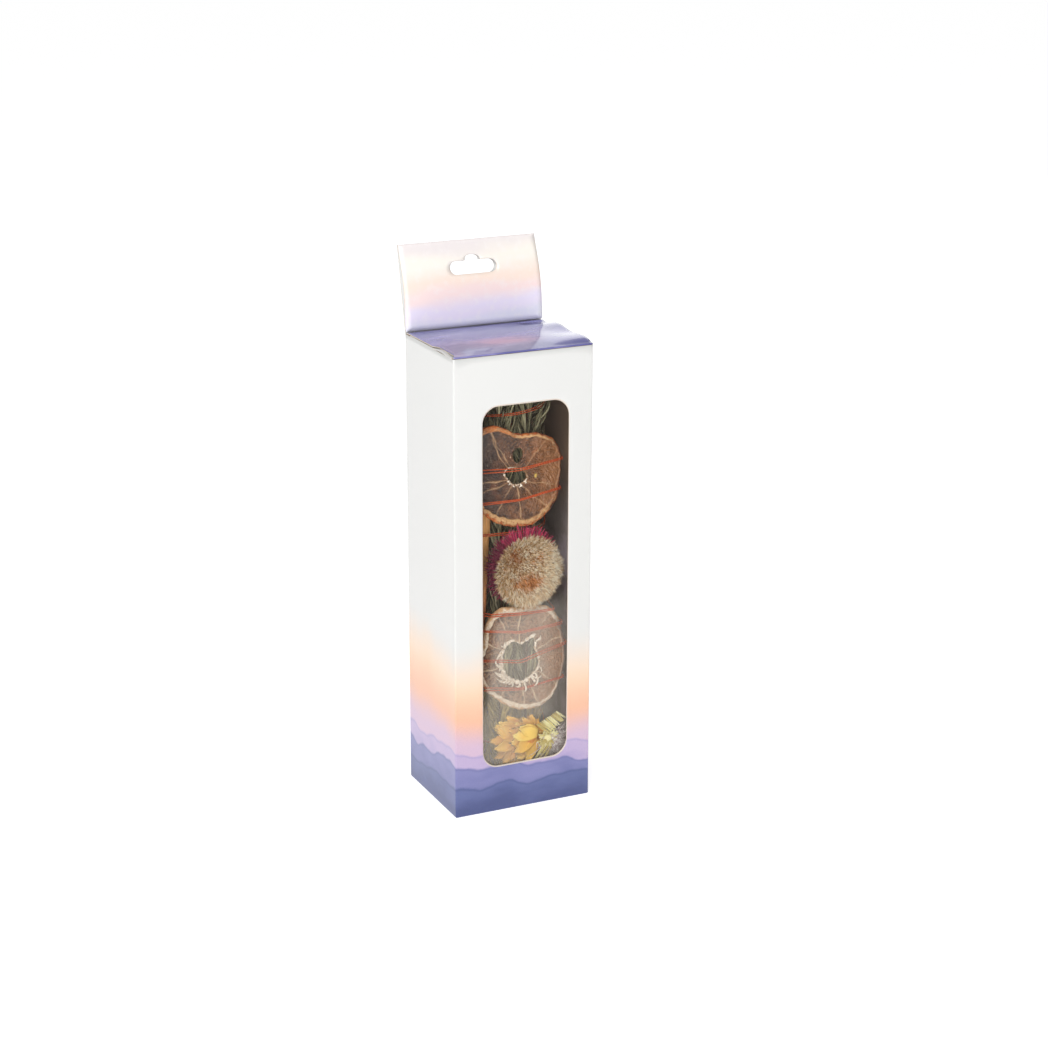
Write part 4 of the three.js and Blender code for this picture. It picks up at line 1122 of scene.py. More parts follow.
def place_of(sizes):
    """The place in the carton of a slice or a flower."""
    return sizes["x"], sizes["y"], sizes["z"]


def slice_rim(angle, widths):
    """Width of a slice's pith at an angle, between the widths that are given at even steps."""
    ring = np.r_[widths, widths[:1]]
    return np.interp(np.mod(angle, 2 * np.pi), np.linspace(0, 2 * np.pi, len(ring)), ring)


def ring_curve(radii, angle):
    """Radius at an angle: a smooth closed curve through radii given at even steps."""
    radii = np.array(radii)
    place = np.mod(angle / (2 * np.pi), 1) * len(radii)
    i = np.floor(place).astype(int)
    t = place - i
    p, q, r, s = [radii[(i + k) % len(radii)] for k in (-1, 0, 1, 2)]
    curve = 2 * q + (r - p) * t + (2 * p - 5 * q + 4 * r - s) * t ** 2 + (3 * q - 3 * r + s - p) * t ** 3
    return 0.5 * curve


def membrane_map(slice_sizes, angle, radius, rng):
    """How much of a membrane lies at each place, 0 to 1: thin wandering lines from the hole to the rind."""
    strength = np.zeros_like(radius)
    for degrees in slice_sizes["membranes"]:
        phase = rng.uniform(0, 6.28, 2)
        bend = 0.05 * np.sin(radius * 0.16 + phase[0]) + 0.015 * np.sin(radius * 0.7 + phase[1])
        offset = np.mod(angle - math.radians(degrees) - bend + np.pi, 2 * np.pi) - np.pi
        width = rng.uniform(0.22, 0.4) * (1 + 0.4 * np.sin(radius * 0.6 + phase[1]))
        strength = np.maximum(strength, rng.uniform(0.5, 0.9) * np.exp(-(offset * radius / width) ** 2))
    return strength


def slice_parts(slice_sizes, seed):
    """A dried slice as one closed ring of surface: front, skin, back and the wall of its hole."""
    rng = np.random.default_rng(seed)
    columns, fronts, skins, backs = SLICE_STEPS.values()
    angle = np.linspace(0, 2 * np.pi, columns, endpoint=False)[None, :]
    outer = ring_curve(slice_sizes["radii"], angle) + 0.25 * np.sin(angle * 23 + 1) * np.sin(angle * 7)
    ragged = 0.5 * np.sin(angle * 17 + 2) + 0.4 * np.sin(angle * 29)
    hole = ring_curve(slice_sizes["hole"], angle) + 0.4 * ragged
    front = hole + (outer - 0.25 - hole) * np.linspace(0, 1, fronts)[:, None]
    back = hole + (outer - 0.25 - hole) * np.linspace(1, 0, backs)[:, None]
    roll = np.linspace(0, np.pi, skins + 2)[1:-1, None]
    radius = np.concatenate([front, outer - 0.25 + 0.45 * np.sin(roll), back])
    side = np.concatenate([np.ones(fronts), np.cos(roll[:, 0]), -np.ones(backs)])[:, None]
    turn = np.broadcast_to(angle, radius.shape)
    x, y = radius * np.cos(turn), radius * np.sin(turn)
    flat = np.stack([x, y], axis=-1)
    rim = slice_rim(turn, slice_sizes["rims"])
    depth = radius - outer + rim + 0.35 * waves(flat, 6, seed)
    pith = smooth(depth, -0.25, 0.25)
    membrane = membrane_map(slice_sizes, turn, radius, rng) * (1 - pith)
    near_hole = np.exp(-(radius - hole) / 0.5)
    cell = waves(np.stack([turn * 9, radius * 0.55], axis=-1), 0.8, seed + 1, count=40)
    flesh = 0.55 + 0.12 * cell + 0.22 * waves(flat, 4.5, seed + 2) + 0.45 * membrane + 0.3 * near_hole
    crown = 1.35 - 0.5 * smooth(depth / rim, 0.55, 1) + 0.14 * waves(flat, 2.0, seed + 3)
    half = flesh * (1 - pith) + crown * pith
    middle = slice_forward(slice_sizes, x, y) + 0.6 * waves(flat, 20, seed + 4) * smooth(radius, 6, 20)
    local = np.stack([x, y, middle + side * half], axis=-1)
    skin = np.concatenate([np.zeros((fronts, 1)), np.sin(roll) ** 0.4, np.zeros((backs, 1))]) + 0 * radius
    ragged_edge = 0.5 * waves(flat, 3, seed + 5)
    skin = np.maximum(skin, smooth(depth / rim + 0.5 * ragged_edge, 0.5, 0.95) * (side > 0.5))
    stain = smooth(np.sin(turn - slice_sizes["stain"]) + 0.4 * waves(flat, 9, seed + 6), 0.35, 1.0) * pith
    skin = np.maximum(skin, 0.75 * stain * (1 - slice_sizes["pale"]))
    # Painted shade: the rim at each slice's right, which curves back into shade, is darkened
    dusk = 0.85 * pith * smooth(np.cos(turn) + 0.1 * waves(flat, 7, seed + 8), 0.66, 0.92)
    seeds = np.zeros_like(radius)
    for seed_x, seed_y in slice_sizes["seeds"]:
        away = ((x - seed_x) / 0.7) ** 2 + ((y - seed_y) / 1.1) ** 2
        seeds = np.maximum(seeds, np.exp(-away ** 2) * (side > 0.5))
    faces = grid_faces(len(radius), columns, close_rows=True, close_columns=True)[:, ::-1]
    if slice_sizes["second_hole"]:
        hole_x, hole_y, half_wide, half_high = slice_sizes["second_hole"]
        inside = (((x - hole_x) / half_wide) ** 2 + ((y - hole_y) / half_high) ** 2).ravel() < 1
        faces = faces[~inside[faces].any(axis=1)]
    values = {"skin": skin, "pith": pith, "membrane": np.maximum(membrane, 0.8 * near_hole).clip(0, 1),
              "cell": cell * 0.5 + 0.5, "seed": seeds, "dusk": dusk, "pale": 0 * radius + slice_sizes["pale"]}
    return face_window((local.reshape(-1, 3), [faces], values), place_of(slice_sizes))


def curl_parts(slice_sizes, seed):
    """Curled membranes round a slice's hole: a ragged lip, heaviest at the lower left, and ribbons that curl
    out towards the window."""
    rng = np.random.default_rng(seed)
    count, size = slice_sizes["ribbons"]
    angle = np.linspace(0, 2 * np.pi, 240, endpoint=False)
    around = np.c_[np.cos(angle), np.sin(angle)]
    lift = 0.55 + 0.35 * waves(6 * around, 4, seed)
    x, y = (ring_curve(slice_sizes["hole"], angle) + 0.3) * around.T
    line = np.stack([x, y, slice_forward(slice_sizes, x, y) + lift], axis=-1)[None]
    heavy = 0.4 + 0.6 * smooth(np.cos(angle - math.radians(225)), -0.5, 0.5)
    thick = size * 0.17 * (0.4 + np.abs(waves(8 * around, 3, seed + 1))) * heavy
    closed = np.concatenate([line, line[:, :1]], axis=1)
    thick = np.r_[thick, thick[:1]][None]
    lip = tubes(blade_rings(closed, np.broadcast_to([0, 0, 1.0], closed.shape), thick * 1.5, thick, 8))
    start = rng.uniform(0, 2 * np.pi, count)
    start[: count // 2] = rng.uniform(-2.9, -0.3, count // 2)
    t = np.linspace(0, 1, 10)[None, :]
    reach = (size * rng.uniform(0.7, 1.7, count))[:, None]
    edge = ring_curve(slice_sizes["hole"], start)[:, None]
    bend = start[:, None] + rng.normal(0, 0.22, (count, 1)) * t ** 2
    radius = edge - 0.3 + reach * (t - 0.25 * t ** 3)
    up = 0.5 + reach * 0.45 * np.sin(np.pi * t * rng.uniform(0.55, 0.95, (count, 1)))
    x, y = radius * np.cos(bend), radius * np.sin(bend)
    centres = np.stack([x, y, slice_forward(slice_sizes, x, y) + up], axis=-1)
    width = size * rng.uniform(0.12, 0.3, (count, 1)) * np.sin(np.pi * (0.12 + 0.8 * t))
    face = unit(rng.normal(size=(count, 1, 3)) * 0.6 + (0, 0, 1.0))
    ribbons = tubes(blade_rings(centres, np.broadcast_to(face, centres.shape), width, 0.18 + 0 * width, 6))
    return face_window(gather([lip, ribbons]), place_of(slice_sizes))


def bract_parts(rng, angles, roots, reaches, bases, rises, widths, cup=0.3, notch=0.0, rows=12, columns=7,
                origins=(0, 0), taper=0.86, ragged=0.0):
    """Papery bracts: blades that leave their origin at an angle, rise as the square of the way out, are
    widest near their middle and hollow across. A measure is one number for all or one for each."""
    thick = 0.16
    count = len(angles)
    angles, roots, reaches, bases, rises, widths = [
        np.broadcast_to(a, count)[:, None, None] for a in (angles, roots, reaches, bases, rises, widths)]
    t = np.linspace(0, 1, rows)[None, :, None]
    s = np.linspace(-1, 1, columns)[None, None, :]
    half = widths / 2 * np.sin(np.pi * np.clip(0.1 + taper * t, 0, 1)) ** 0.6
    teeth = ragged * np.sin(9 * s + rng.uniform(0, 6, (count, 1, 1))) * t ** 2
    reach = roots + (reaches - roots) * t * (1 - notch * s ** 2 * t + teeth)
    lateral = half * s + rng.normal(0, 0.05, (count, 1, 1)) * reach * t
    lift = bases + rises * t ** 2 + cup * half * (s ** 2 - 0.4) * t
    lift = lift + rng.normal(0, 0.25, (count, 1, 1)) * t
    lift = lift + 0.12 * np.sin(9 * t + rng.uniform(0, 6, (count, 1, 1)))
    cos, sin = np.cos(angles), np.sin(angles)
    origin = np.broadcast_to(origins, (count, 2))[:, :, None, None]
    upper = np.stack([origin[:, 0] + reach * cos - lateral * sin, origin[:, 1] + reach * sin + lateral * cos,
                      lift], axis=-1)
    lower = upper - (0, 0, thick)
    ring = np.concatenate([upper, lower[:, :, ::-1]], axis=2)
    around = np.concatenate([s, s[:, :, ::-1]], axis=2)
    shade = np.repeat(rng.uniform(0, 1, count), rows * 2 * columns)
    values = {"shade": shade, "along": np.broadcast_to(t, ring.shape[:3]).ravel(),
              "across": np.broadcast_to(around, ring.shape[:3]).ravel()}
    return (*tubes(ring), values)


def join_values(groups):
    """Joins several (points, faces, values) parts into one, with the values that all of them have."""
    points, faces = gather([(p, f) for p, f, _ in groups])
    labels = [n for n in groups[0][2] if all(n in g[2] for g in groups)]
    return points, faces, {n: np.concatenate([np.ravel(g[2][n]) for g in groups]) for n in labels}


def ring_angles(rng, count, wander, shift=0.0):
    """Angles evenly round a ring, each moved by up to wander of a step."""
    return (np.arange(count) + shift + rng.uniform(-wander, wander, count)) / count * 2 * np.pi


def dome_part(radius, height, base, shade):
    """A smooth low dome, closed beneath, as (points, faces, values)."""
    a = np.linspace(0, np.pi / 2, 12)
    dome = np.c_[radius * np.cos(a), 0.3 + height * np.sin(a)]
    profile = np.concatenate([[[0.01, 0]], [[radius * 0.9, 0]], dome])
    profile[-1, 0] = 0.01
    turn = np.linspace(0, 2 * np.pi, 40, endpoint=False)
    rings = np.stack([profile[:, :1] * np.cos(turn), profile[:, :1] * np.sin(turn),
                      base + profile[:, 1:] + 0 * turn], axis=-1)
    points, faces = tubes(rings[None])
    blank = np.zeros(len(points))
    return points, faces, {"shade": blank + shade, "along": blank, "across": blank, "patch": blank}


def everlasting_parts(seed):
    """Magenta bracts in rows round a flat seat: fine, pointed and close together, like a brush. Painted light
    makes them lighter, with more of the tip colour, towards the upper right, and darker at the left and
    below.
    """
    rng = np.random.default_rng(seed)
    groups = [dome_part(10.5, 1.4, 0.0, 0.1)]
    count = EVERLASTING["row_count"]
    for row, (share, base, rise) in enumerate(EVERLASTING["rows"]):
        angles = ring_angles(rng, count, 0.8, 0.4 * row)
        reaches = ring_curve(EVERLASTING["reaches"], angles) * share * rng.uniform(0.84, 1.03, count)
        groups.append(bract_parts(rng, angles, 9, reaches, base, rise * rng.uniform(0.1, 1.5, count),
                                  rng.uniform(0.4, 0.8, count), cup=0.8, rows=5, columns=3))
    points, faces, values = join_values(groups)
    # Painted light: bracts lighter towards the upper right, darker at the left and below
    bright = smooth(points[:, 0] * 0.45 + points[:, 1], 4, 19)
    values["shade"] = values["shade"] * (0.5 + 0.2 * bright) + 0.42 * bright
    return face_window((points, faces, values), place_of(EVERLASTING))


def fluff_parts(seed, tufts):
    """Fluff: small tufts of bristles that stand out of a core and end near a low dome. The tufts differ in
    tone, with painted light making them lighter towards the right and low down, and in height and lean, and
    the outer ones lie outwards like a fringe."""
    rng = np.random.default_rng(seed)
    share = (np.arange(tufts) + 0.5) / tufts
    angle = np.arange(tufts) * math.pi * (3 - math.sqrt(5))
    radius, height = EVERLASTING["radius"], EVERLASTING["height"]
    flat = np.sqrt(share)[:, None] * np.c_[np.cos(angle), np.sin(angle)]
    dome = np.c_[radius * flat, 0.3 + (height - 0.3) * (1 - share) ** 0.4]
    comb = np.c_[waves(flat * radius, 5, seed + 2), waves(flat * radius, 5, seed + 3), 0 * share]
    lean = 0.45 * comb + rng.normal(0, 0.42, dome.shape) * (1, 1, 0.8)
    drift = 0.13 * waves(flat * radius, 2.2, seed + 4, count=40)
    # Painted light: tufts lighter towards the right and low down, darker at the upper left, as light falls on
    # the fluff
    lit = smooth(dome[:, 0] - dome[:, 1] * 0.6, -14, 14)
    shade = 0.42 + 0.3 * rng.normal(size=tufts) + drift + 0.22 * lit
    patch = 0.26 * rng.normal(size=tufts) + 0.16 * waves(flat * radius, 2.6, seed + 5, count=40)
    for x, y, size, strength in FLUFF_PATCHES:
        patch = patch + strength * np.exp(-(((dome[:, 0] - x) / size) ** 2 + ((dome[:, 1] - y) / size) ** 2))
    count = tufts * TUFT_BRISTLES
    dome, lean, shade, patch = [np.repeat(a, TUFT_BRISTLES, axis=0) for a in (dome, lean, shade, patch)]
    tip = dome + lean + rng.normal(0, 0.34, (count, 3))
    tip[:, 2] = tip[:, 2].clip(0.1, height + 0.9)
    foot = dome * (0.86, 0.86, 0.3) + rng.normal(0, 0.3, (count, 3)) * (1, 1, 0.3)
    t = np.linspace(0, 1, 3)[None, :, None]
    bow = np.sin(np.pi * t) * rng.normal(0, 0.2, (count, 1, 3))
    centres = foot[:, None] * (1 - t) + tip[:, None] * t + bow
    width = rng.uniform(0.08, 0.15, (count, 1)) * (1 - 0.75 * t[..., 0] ** 2)
    face = np.broadcast_to(unit(rng.normal(size=(count, 1, 3))), centres.shape)
    rings = blade_rings(centres, face, width, width, 3)
    per = rings.shape[1] * rings.shape[2]
    values = {"shade": np.repeat(shade + 0.16 * rng.normal(size=count), per),
              "along": np.broadcast_to(t[..., 0, None], rings.shape[:3]), "patch": np.repeat(patch, per)}
    core = dome_part(16.6, 4.2, 0.0, 0.5)
    place = (EVERLASTING["x"], EVERLASTING["fluff_y"], EVERLASTING["z"])
    return face_window(join_values([(*tubes(rings), values), core]), place)


def bound_reach(z, directions):
    """Support of all that the thread binds, at heights z and in directions, from the bundle's middle."""
    nx, ny = np.cos(directions), np.sin(directions)
    bundle = BUNDLE["radius"] * np.sqrt((BUNDLE["wide"] * nx) ** 2 + ny ** 2)
    reach = np.repeat(bundle[None], len(z), axis=0)
    for sizes in (UPPER_SLICE, LOWER_SLICE):
        a = np.linspace(0, 2 * np.pi, 361)
        radius = ring_curve(sizes["radii"], a)
        px, pz = radius * np.cos(a), sizes["z"] + radius * np.sin(a)
        crossing = (pz[None, :-1] - z[:, None]) * (pz[None, 1:] - z[:, None]) <= 0
        share = (z[:, None] - pz[:-1]) / np.where(np.abs(np.diff(pz)) < 1e-6, 1e-6, np.diff(pz))
        x = px[:-1] + np.diff(px) * share.clip(0, 1)
        low = np.where(crossing, x, np.inf).min(axis=1)
        high = np.where(crossing, x, -np.inf).max(axis=1)
        met = crossing.any(axis=1)
        low, high = np.where(met, low, 0), np.where(met, high, 0)
        for s in np.linspace(0, 1, 7):
            x = low * (1 - s) + high * s
            y = SLICE_Y - slice_forward(sizes, x, z - sizes["z"]) - 1.5
            toward = (sizes["x"] + x - BUNDLE["x"])[:, None] * nx + (y - BUNDLE["y"])[:, None] * ny
            reach = np.where(met[:, None], np.maximum(reach, toward), reach)
    beside = ((z > PALO["foot"]) & (z < PALO["top"]))[:, None]
    for x, y in np.moveaxis(palo_section(z), 1, 0).transpose(0, 2, 1):
        toward = (x - BUNDLE["x"])[:, None] * nx + (y - BUNDLE["y"])[:, None] * ny
        reach = np.where(beside, np.maximum(reach, toward), reach)
    return reach


def thread_line(samples):
    """The thread's route: it climbs through its heights as it winds, at the least distance that clears
    all that it binds, which is the smallest of support / cos over the directions."""
    front, clearance = THREAD["front_share"], THREAD["clearance"]
    turns = np.arange(len(TURNS))[:, None] + (-front, 0, front)
    place = np.linspace(-front, len(TURNS) - 0.5, samples)
    z = np.interp(place, turns.ravel(), np.ravel(TURNS))
    kernel = np.hanning(13)
    padded = np.pad(z, len(kernel) // 2, mode="edge")
    z = np.convolve(padded, kernel / kernel.sum(), mode="valid")
    theta = 2 * np.pi * place - np.pi / 2
    directions = np.linspace(0, 2 * np.pi, 180, endpoint=False)
    reach = np.maximum.reduce([bound_reach(z + shift, directions) for shift in (-0.7, 0, 0.7)])
    facing = np.cos(directions[None] - theta[:, None])
    distance = np.where(facing > 0.05, (reach + clearance) / np.maximum(facing, 0.05), np.inf).min(axis=1)
    return np.c_[BUNDLE["x"] + distance * np.cos(theta), BUNDLE["y"] + distance * np.sin(theta), z], theta


def thread_parts():
    """Two strands side by side along the route, now touching and now apart, and a knot with two tails."""
    line, theta = thread_line(THREAD["samples"])
    along = line_length(line)
    out = np.c_[np.cos(theta), np.sin(theta), 0 * theta]
    apart = (0.34 + 0.4 * np.sin(along / 31) ** 4)[:, None] * (0, 0, 1)
    sway = 0.12 * np.sin(along / 9)[:, None] * out
    curves = [line + side * (apart + sway) for side in (-1, 1)]
    end = line[-1]
    a = np.linspace(0, 2 * np.pi, THREAD["loop_samples"])
    knot = np.c_[1.5 * np.sin(2 * a), 0.9 + 0.8 * np.sin(3 * a), 1.5 * np.cos(a) + 0.5 * np.sin(3 * a)]
    curves.append(end + knot)
    t = np.linspace(0, 1, THREAD["loop_samples"])
    for side in (-1, 1):
        tail = np.c_[side * (1 + 7 * t), 0.9 + 1.2 * np.sin(3 * t), -1 - 13 * t ** 1.3 + side * t]
        curves.append(end + tail)
    sides = THREAD["sides"]
    groups = []
    for curve in curves:
        radius = np.full((1, len(curve)), THREAD["radius"])
        face = np.broadcast_to([0.2, 0.9, 0.3], (1, len(curve), 3))
        rings = blade_rings(curve[None], face, radius, radius, sides)
        values = {"along": np.repeat(line_length(curve), sides),
                  "turn": np.broadcast_to(np.arange(sides) / sides, rings.shape[:3])}
        groups.append((*tubes(rings), values))
    return join_values(groups)


def yellow_parts(seed):
    """Golden bracts: one row of small ones round the seat, and the broad papery ones, each with its own
    direction, reach, width, height and start. Those that point up end below the slice above."""
    rng = np.random.default_rng(seed)
    count = YELLOW["seat_count"]
    angles = ring_angles(rng, count, 0.25)
    reaches = np.minimum(12.0 * rng.uniform(0.88, 1.04, count),
                         YELLOW["headroom"] / np.maximum(0.2, np.sin(angles)) * rng.uniform(0.94, 1.0, count))
    seat = bract_parts(rng, angles, 3, reaches, 0.3, rng.uniform(0.4, 1.0, count),
                       rng.uniform(5, 7, count), cup=0.35, notch=0.12, rows=14)
    angles, reaches, widths, bases, rises, starts, heights, glow = np.array(GOLDEN_BRACTS).T
    broad = bract_parts(rng, np.radians(angles), 1, reaches, bases, rises, widths, cup=0.25, notch=0.16,
                        rows=18, columns=13, origins=np.c_[starts, heights], taper=0.78, ragged=0.05)
    shades = broad[2]["shade"]
    broad[2]["shade"] = np.repeat(glow, len(shades) // len(glow)) + 0.2 * (shades - 0.5)
    return face_window(join_values([dome_part(6.4, 4.0, 0.0, 0.2), seat, broad]), place_of(YELLOW))


def comb_place():
    """Where the pale inner bracts sit: forward of the golden ones, and to the right of their middle."""
    return (YELLOW["x"] + YELLOW["comb_x"], YELLOW["y"] - YELLOW["comb_height"],
            YELLOW["z"] + YELLOW["comb_z"])


def comb_parts(seed):
    """Pale inner bracts: narrow blades side by side in rows like combs, each row given by where its first
    and last blades begin and end, and short ones that spread from the middle, below and all round."""
    rng = np.random.default_rng(seed)
    groups = []
    for count, first_root, last_root, first_tip, last_tip, base in PALE_COMBS:
        share = np.linspace(0, 1, count)[:, None]
        root = first_root * (1 - share) + last_root * share + rng.normal(0, 0.15, (count, 2))
        tip = first_tip * (1 - share) + last_tip * share + rng.normal(0, 0.3, (count, 2))
        way = tip - root
        width = 1.1 * np.linalg.norm(np.subtract(last_root, first_root)) / count
        groups.append(bract_parts(rng, np.arctan2(way[:, 1], way[:, 0]), 0, np.linalg.norm(way, axis=1), base,
                                  rng.uniform(-0.7, -0.4, count), width, cup=0.9, origins=root))
    count = 9
    angles = np.radians(np.linspace(196, 318, count) + rng.uniform(-4, 4, count))
    groups.append(bract_parts(rng, angles, 0.5, rng.uniform(4.2, 5.6, count), 0.9,
                              rng.uniform(-0.4, 0.2, count), rng.uniform(1.0, 1.4, count), cup=0.6))
    count = 22
    angles = ring_angles(rng, count, 0.2)
    groups.append(bract_parts(rng, angles, 1, rng.uniform(4.0, 6.5, count), 0,
                              rng.uniform(-0.2, 0.4, count), rng.uniform(1.0, 1.4, count), cup=0.6))
    groups.append(dome_part(2.2, 0.8, 0.0, 0.8))
    return face_window(join_values(groups), comb_place())


def wisp_parts(seed):
    """Fine lilac-white hairs that spill out of the yellow flower to the right and below."""
    rng = np.random.default_rng(seed)
    count = YELLOW["hairs"]
    angle = rng.normal(-0.6, 0.75, count)
    foot = np.c_[1.5 + rng.normal(0, 2.2, count), rng.normal(-1.5, 2.2, count), rng.uniform(-2.6, 0.4, count)]
    length = rng.uniform(3, 9.5, count)
    t = np.linspace(0, 1, 5)[None, :, None]
    way = np.c_[np.cos(angle), np.sin(angle), rng.normal(0, 0.10, count)]
    bend = rng.normal(0, 0.22, (count, 1, 3)) * t ** 2
    centres = foot[:, None] + length[:, None, None] * (way[:, None] * t + bend)
    centres[..., 2] = centres[..., 2].clip(-5, 1.0)
    width = np.broadcast_to(0.19 * (1 - 0.6 * t[..., 0]), centres.shape[:2])
    rings = blade_rings(centres, np.broadcast_to([0, 0, 1.0], centres.shape), width, width, 3)
    return face_window(tubes(rings), comb_place())


class SMUDGE_OT_rosemary(bpy.types.Operator):
    """Builds the seven rosemary sprigs"""
    bl_idname = "smudge.rosemary"
    bl_label = "Rosemary"

    def execute(self, context):
        settings = context.scene.smudge_stick
        finish = rosemary_finish(settings)
        layer, half_width = settings.needle_layer / MM, settings.needle_width / MM / 2
        for number in range(len(SPRIG_TOPS)):
            add_piece(f"rosemary_{number + 1}", sprig_parts(number, layer, half_width), [finish],
                      [f"rosemary_sprig_{number + 1}"])
        return {"FINISHED"}


class SMUDGE_OT_palo_santo(bpy.types.Operator):
    """Builds the palo santo stick"""
    bl_idname = "smudge.palo_santo"
    bl_label = "Palo santo"

    def execute(self, context):
        finish = wood_finish(context.scene.smudge_stick)
        add_piece("palo_santo_split", palo_parts(), [finish], ["palo_santo_stick"])
        return {"FINISHED"}


class SMUDGE_OT_orange(bpy.types.Operator):
    """Builds the two dried orange slices and the membranes curled round their holes"""
    bl_idname = "smudge.orange"
    bl_label = "Orange slices"

    def execute(self, context):
        finish, curled = orange_finish(context.scene.smudge_stick), membrane_finish()
        for name, sizes in (("upper", UPPER_SLICE), ("lower", LOWER_SLICE)):
            add_piece(f"dried_slice_{name}", slice_parts(sizes, SEEDS[name]), [finish],
                      [f"orange_slice_{name}"])
            curls = curl_parts(sizes, SEEDS[name] + CURL_SEED)
            add_piece(f"slice_membranes_{name}", curls, [curled])
        return {"FINISHED"}


class SMUDGE_OT_flowers(bpy.types.Operator):
    """Builds the everlasting and the yellow flower"""
    bl_idname = "smudge.flowers"
    bl_label = "Flowers"

    def execute(self, context):
        settings = context.scene.smudge_stick
        magenta = petal_finish("magenta_bracts", tone(48, 12, 40), settings.magenta, tone(240, 72, 118))
        golden = petal_finish("golden_bracts", tone(226, 146, 54), settings.golden, tone(255, 226, 112), 0.1)
        pale = petal_finish("pale_bracts", tone(190, 166, 84), tone(246, 236, 160), tone(254, 250, 204))
        fluff = fluff_parts(SEEDS["fluff"], settings.tufts)
        add_piece("magenta_bracts", everlasting_parts(SEEDS["everlasting"]), [magenta],
                  ["everlasting_bracts"])
        add_piece("seed_fluff", fluff, [fluff_finish()], ["everlasting_fluff"])
        add_piece("golden_bracts", yellow_parts(SEEDS["yellow"]), [golden],
                  ["yellow_flower_bracts"])
        add_piece("pale_bracts", comb_parts(SEEDS["combs"]), [pale], ["yellow_flower_comb"])
        add_piece("lilac_wisps", wisp_parts(SEEDS["hairs"]), [hair_finish()])
        return {"FINISHED"}


class SMUDGE_OT_thread(bpy.types.Operator):
    """Builds the binding thread"""
    bl_idname = "smudge.thread"
    bl_label = "Thread"

    def execute(self, context):
        finish = thread_finish(context.scene.smudge_stick)
        add_piece("thread_strands", thread_parts(), [finish], ["binding_thread"])
        return {"FINISHED"}


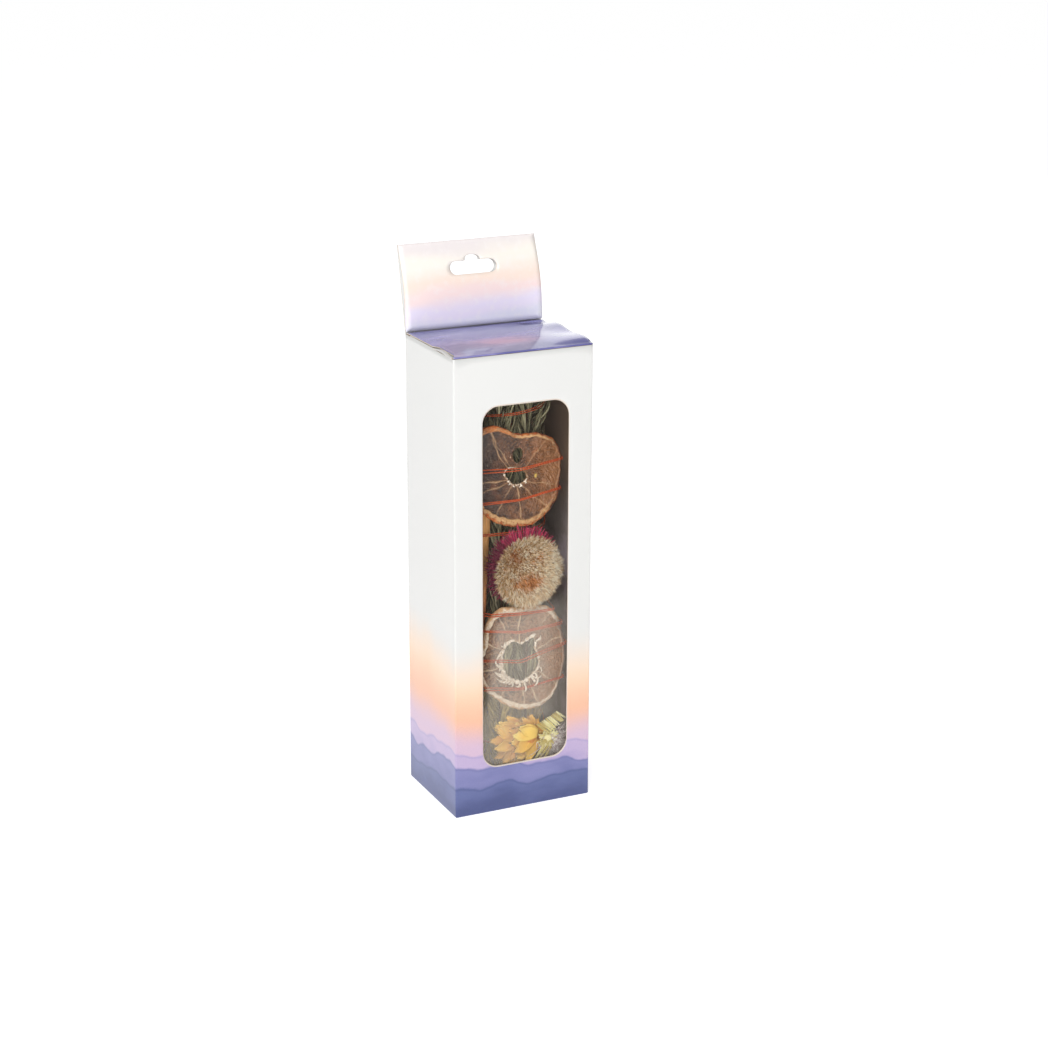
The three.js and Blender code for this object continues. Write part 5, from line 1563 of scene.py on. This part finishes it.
class SMUDGE_OT_stage(bpy.types.Operator):
    """Builds the floor, the lights and the camera"""
    bl_idname = "smudge.stage"
    bl_label = "Stage"

    def execute(self, context):
        settings = context.scene.smudge_stage
        scene = context.scene
        scene.view_settings.view_transform = "Standard"
        self.add_floor(scene, settings)
        world = bpy.data.worlds.new("even_white")
        world.use_nodes = True
        background = world.node_tree.nodes["Background"]
        background.inputs["Color"].default_value = (1, 1, 1, 1)
        background.inputs["Strength"].default_value = settings.sky
        scene.world = world
        for name, place, size in LIGHTS:
            self.add_light(scene, name, Vector(place), size, getattr(settings, name))
        self.add_camera(scene)
        return {"FINISHED"}

    def add_floor(self, scene, settings):
        finish = Finish("pale_floor", base_color=settings.floor, roughness=0.9)
        finish.feed("Emission Color", (1, 1, 1))
        finish.feed("Emission Strength", settings.floor_glow)
        half = settings.floor_size / 2
        corners = [(-half, -half, 0), (half, -half, 0), (half, half, 0), (-half, half, 0)]
        mesh = bpy.data.meshes.new("pale_floor")
        mesh.from_pydata(corners, [], [(0, 1, 2, 3)])
        mesh.materials.append(finish.material)
        floor = bpy.data.objects.new("pale_floor", mesh)
        scene.collection.objects.link(floor)

    def add_light(self, scene, name, place, size, power):
        data = bpy.data.lights.new(name, "AREA")
        data.size = size
        data.energy = power
        light = bpy.data.objects.new(name, data)
        turn = (LIT_PLACE - place).to_track_quat("-Z", "Y")
        light.matrix_world = Matrix.LocRotScale(place, turn, None)
        scene.collection.objects.link(light)

    def add_camera(self, scene):
        a, e, roll = CAMERA_TURN, CAMERA_RISE, CAMERA_ROLL
        back = Vector((math.sin(a) * math.cos(e), -math.cos(a) * math.cos(e), math.sin(e)))
        level = Vector((math.cos(a), math.sin(a), 0))
        upright = back.cross(level)
        right = math.cos(roll) * level + math.sin(roll) * upright
        up = math.cos(roll) * upright - math.sin(roll) * level
        data = bpy.data.cameras.new("view")
        data.lens = CAMERA_LENS
        data.clip_end = 200
        camera = bpy.data.objects.new("view", data)
        turn = Matrix((right, up, back)).transposed().to_4x4()
        camera.matrix_world = Matrix.Translation(CAMERA_PLACE) @ turn
        scene.collection.objects.link(camera)
        scene.camera = camera


class SMUDGE_PT_panel(bpy.types.Panel):
    """Lists the builders and their settings"""
    bl_idname = "SMUDGE_PT_panel"
    bl_label = "Smudge stick"
    bl_space_type = "VIEW_3D"
    bl_region_type = "UI"
    bl_category = "Smudge stick"

    def draw(self, context):
        for builder in BUILDERS:
            self.layout.operator(builder.bl_idname)
        for label in ("smudge_carton", "smudge_stick", "smudge_stage"):
            group = getattr(context.scene, label)
            for setting in group.bl_rna.properties:
                if setting.identifier not in ("name", "rna_type"):
                    self.layout.prop(group, setting.identifier)


BUILDERS = (SMUDGE_OT_stage, SMUDGE_OT_carton, SMUDGE_OT_lid, SMUDGE_OT_rosemary, SMUDGE_OT_palo_santo,
            SMUDGE_OT_orange, SMUDGE_OT_flowers, SMUDGE_OT_thread)
SETTINGS = {"smudge_carton": CartonSettings, "smudge_stick": StickSettings, "smudge_stage": StageSettings}


def register():
    for group in SETTINGS.values():
        bpy.utils.register_class(group)
    for name, group in SETTINGS.items():
        setattr(bpy.types.Scene, name, PointerProperty(type=group))
    for item in (*BUILDERS, SMUDGE_PT_panel):
        bpy.utils.register_class(item)


def unregister():
    for item in (SMUDGE_PT_panel, *reversed(BUILDERS)):
        bpy.utils.unregister_class(item)
    for name in SETTINGS:
        delattr(bpy.types.Scene, name)
    for group in reversed(SETTINGS.values()):
        bpy.utils.unregister_class(group)


def main():
    register()
    bpy.ops.smudge.stage()
    bpy.ops.smudge.carton()
    bpy.ops.smudge.lid()
    bpy.ops.smudge.rosemary()
    bpy.ops.smudge.palo_santo()
    bpy.ops.smudge.orange()
    bpy.ops.smudge.flowers()
    bpy.ops.smudge.thread()


if __name__ == "__main__":
    main()
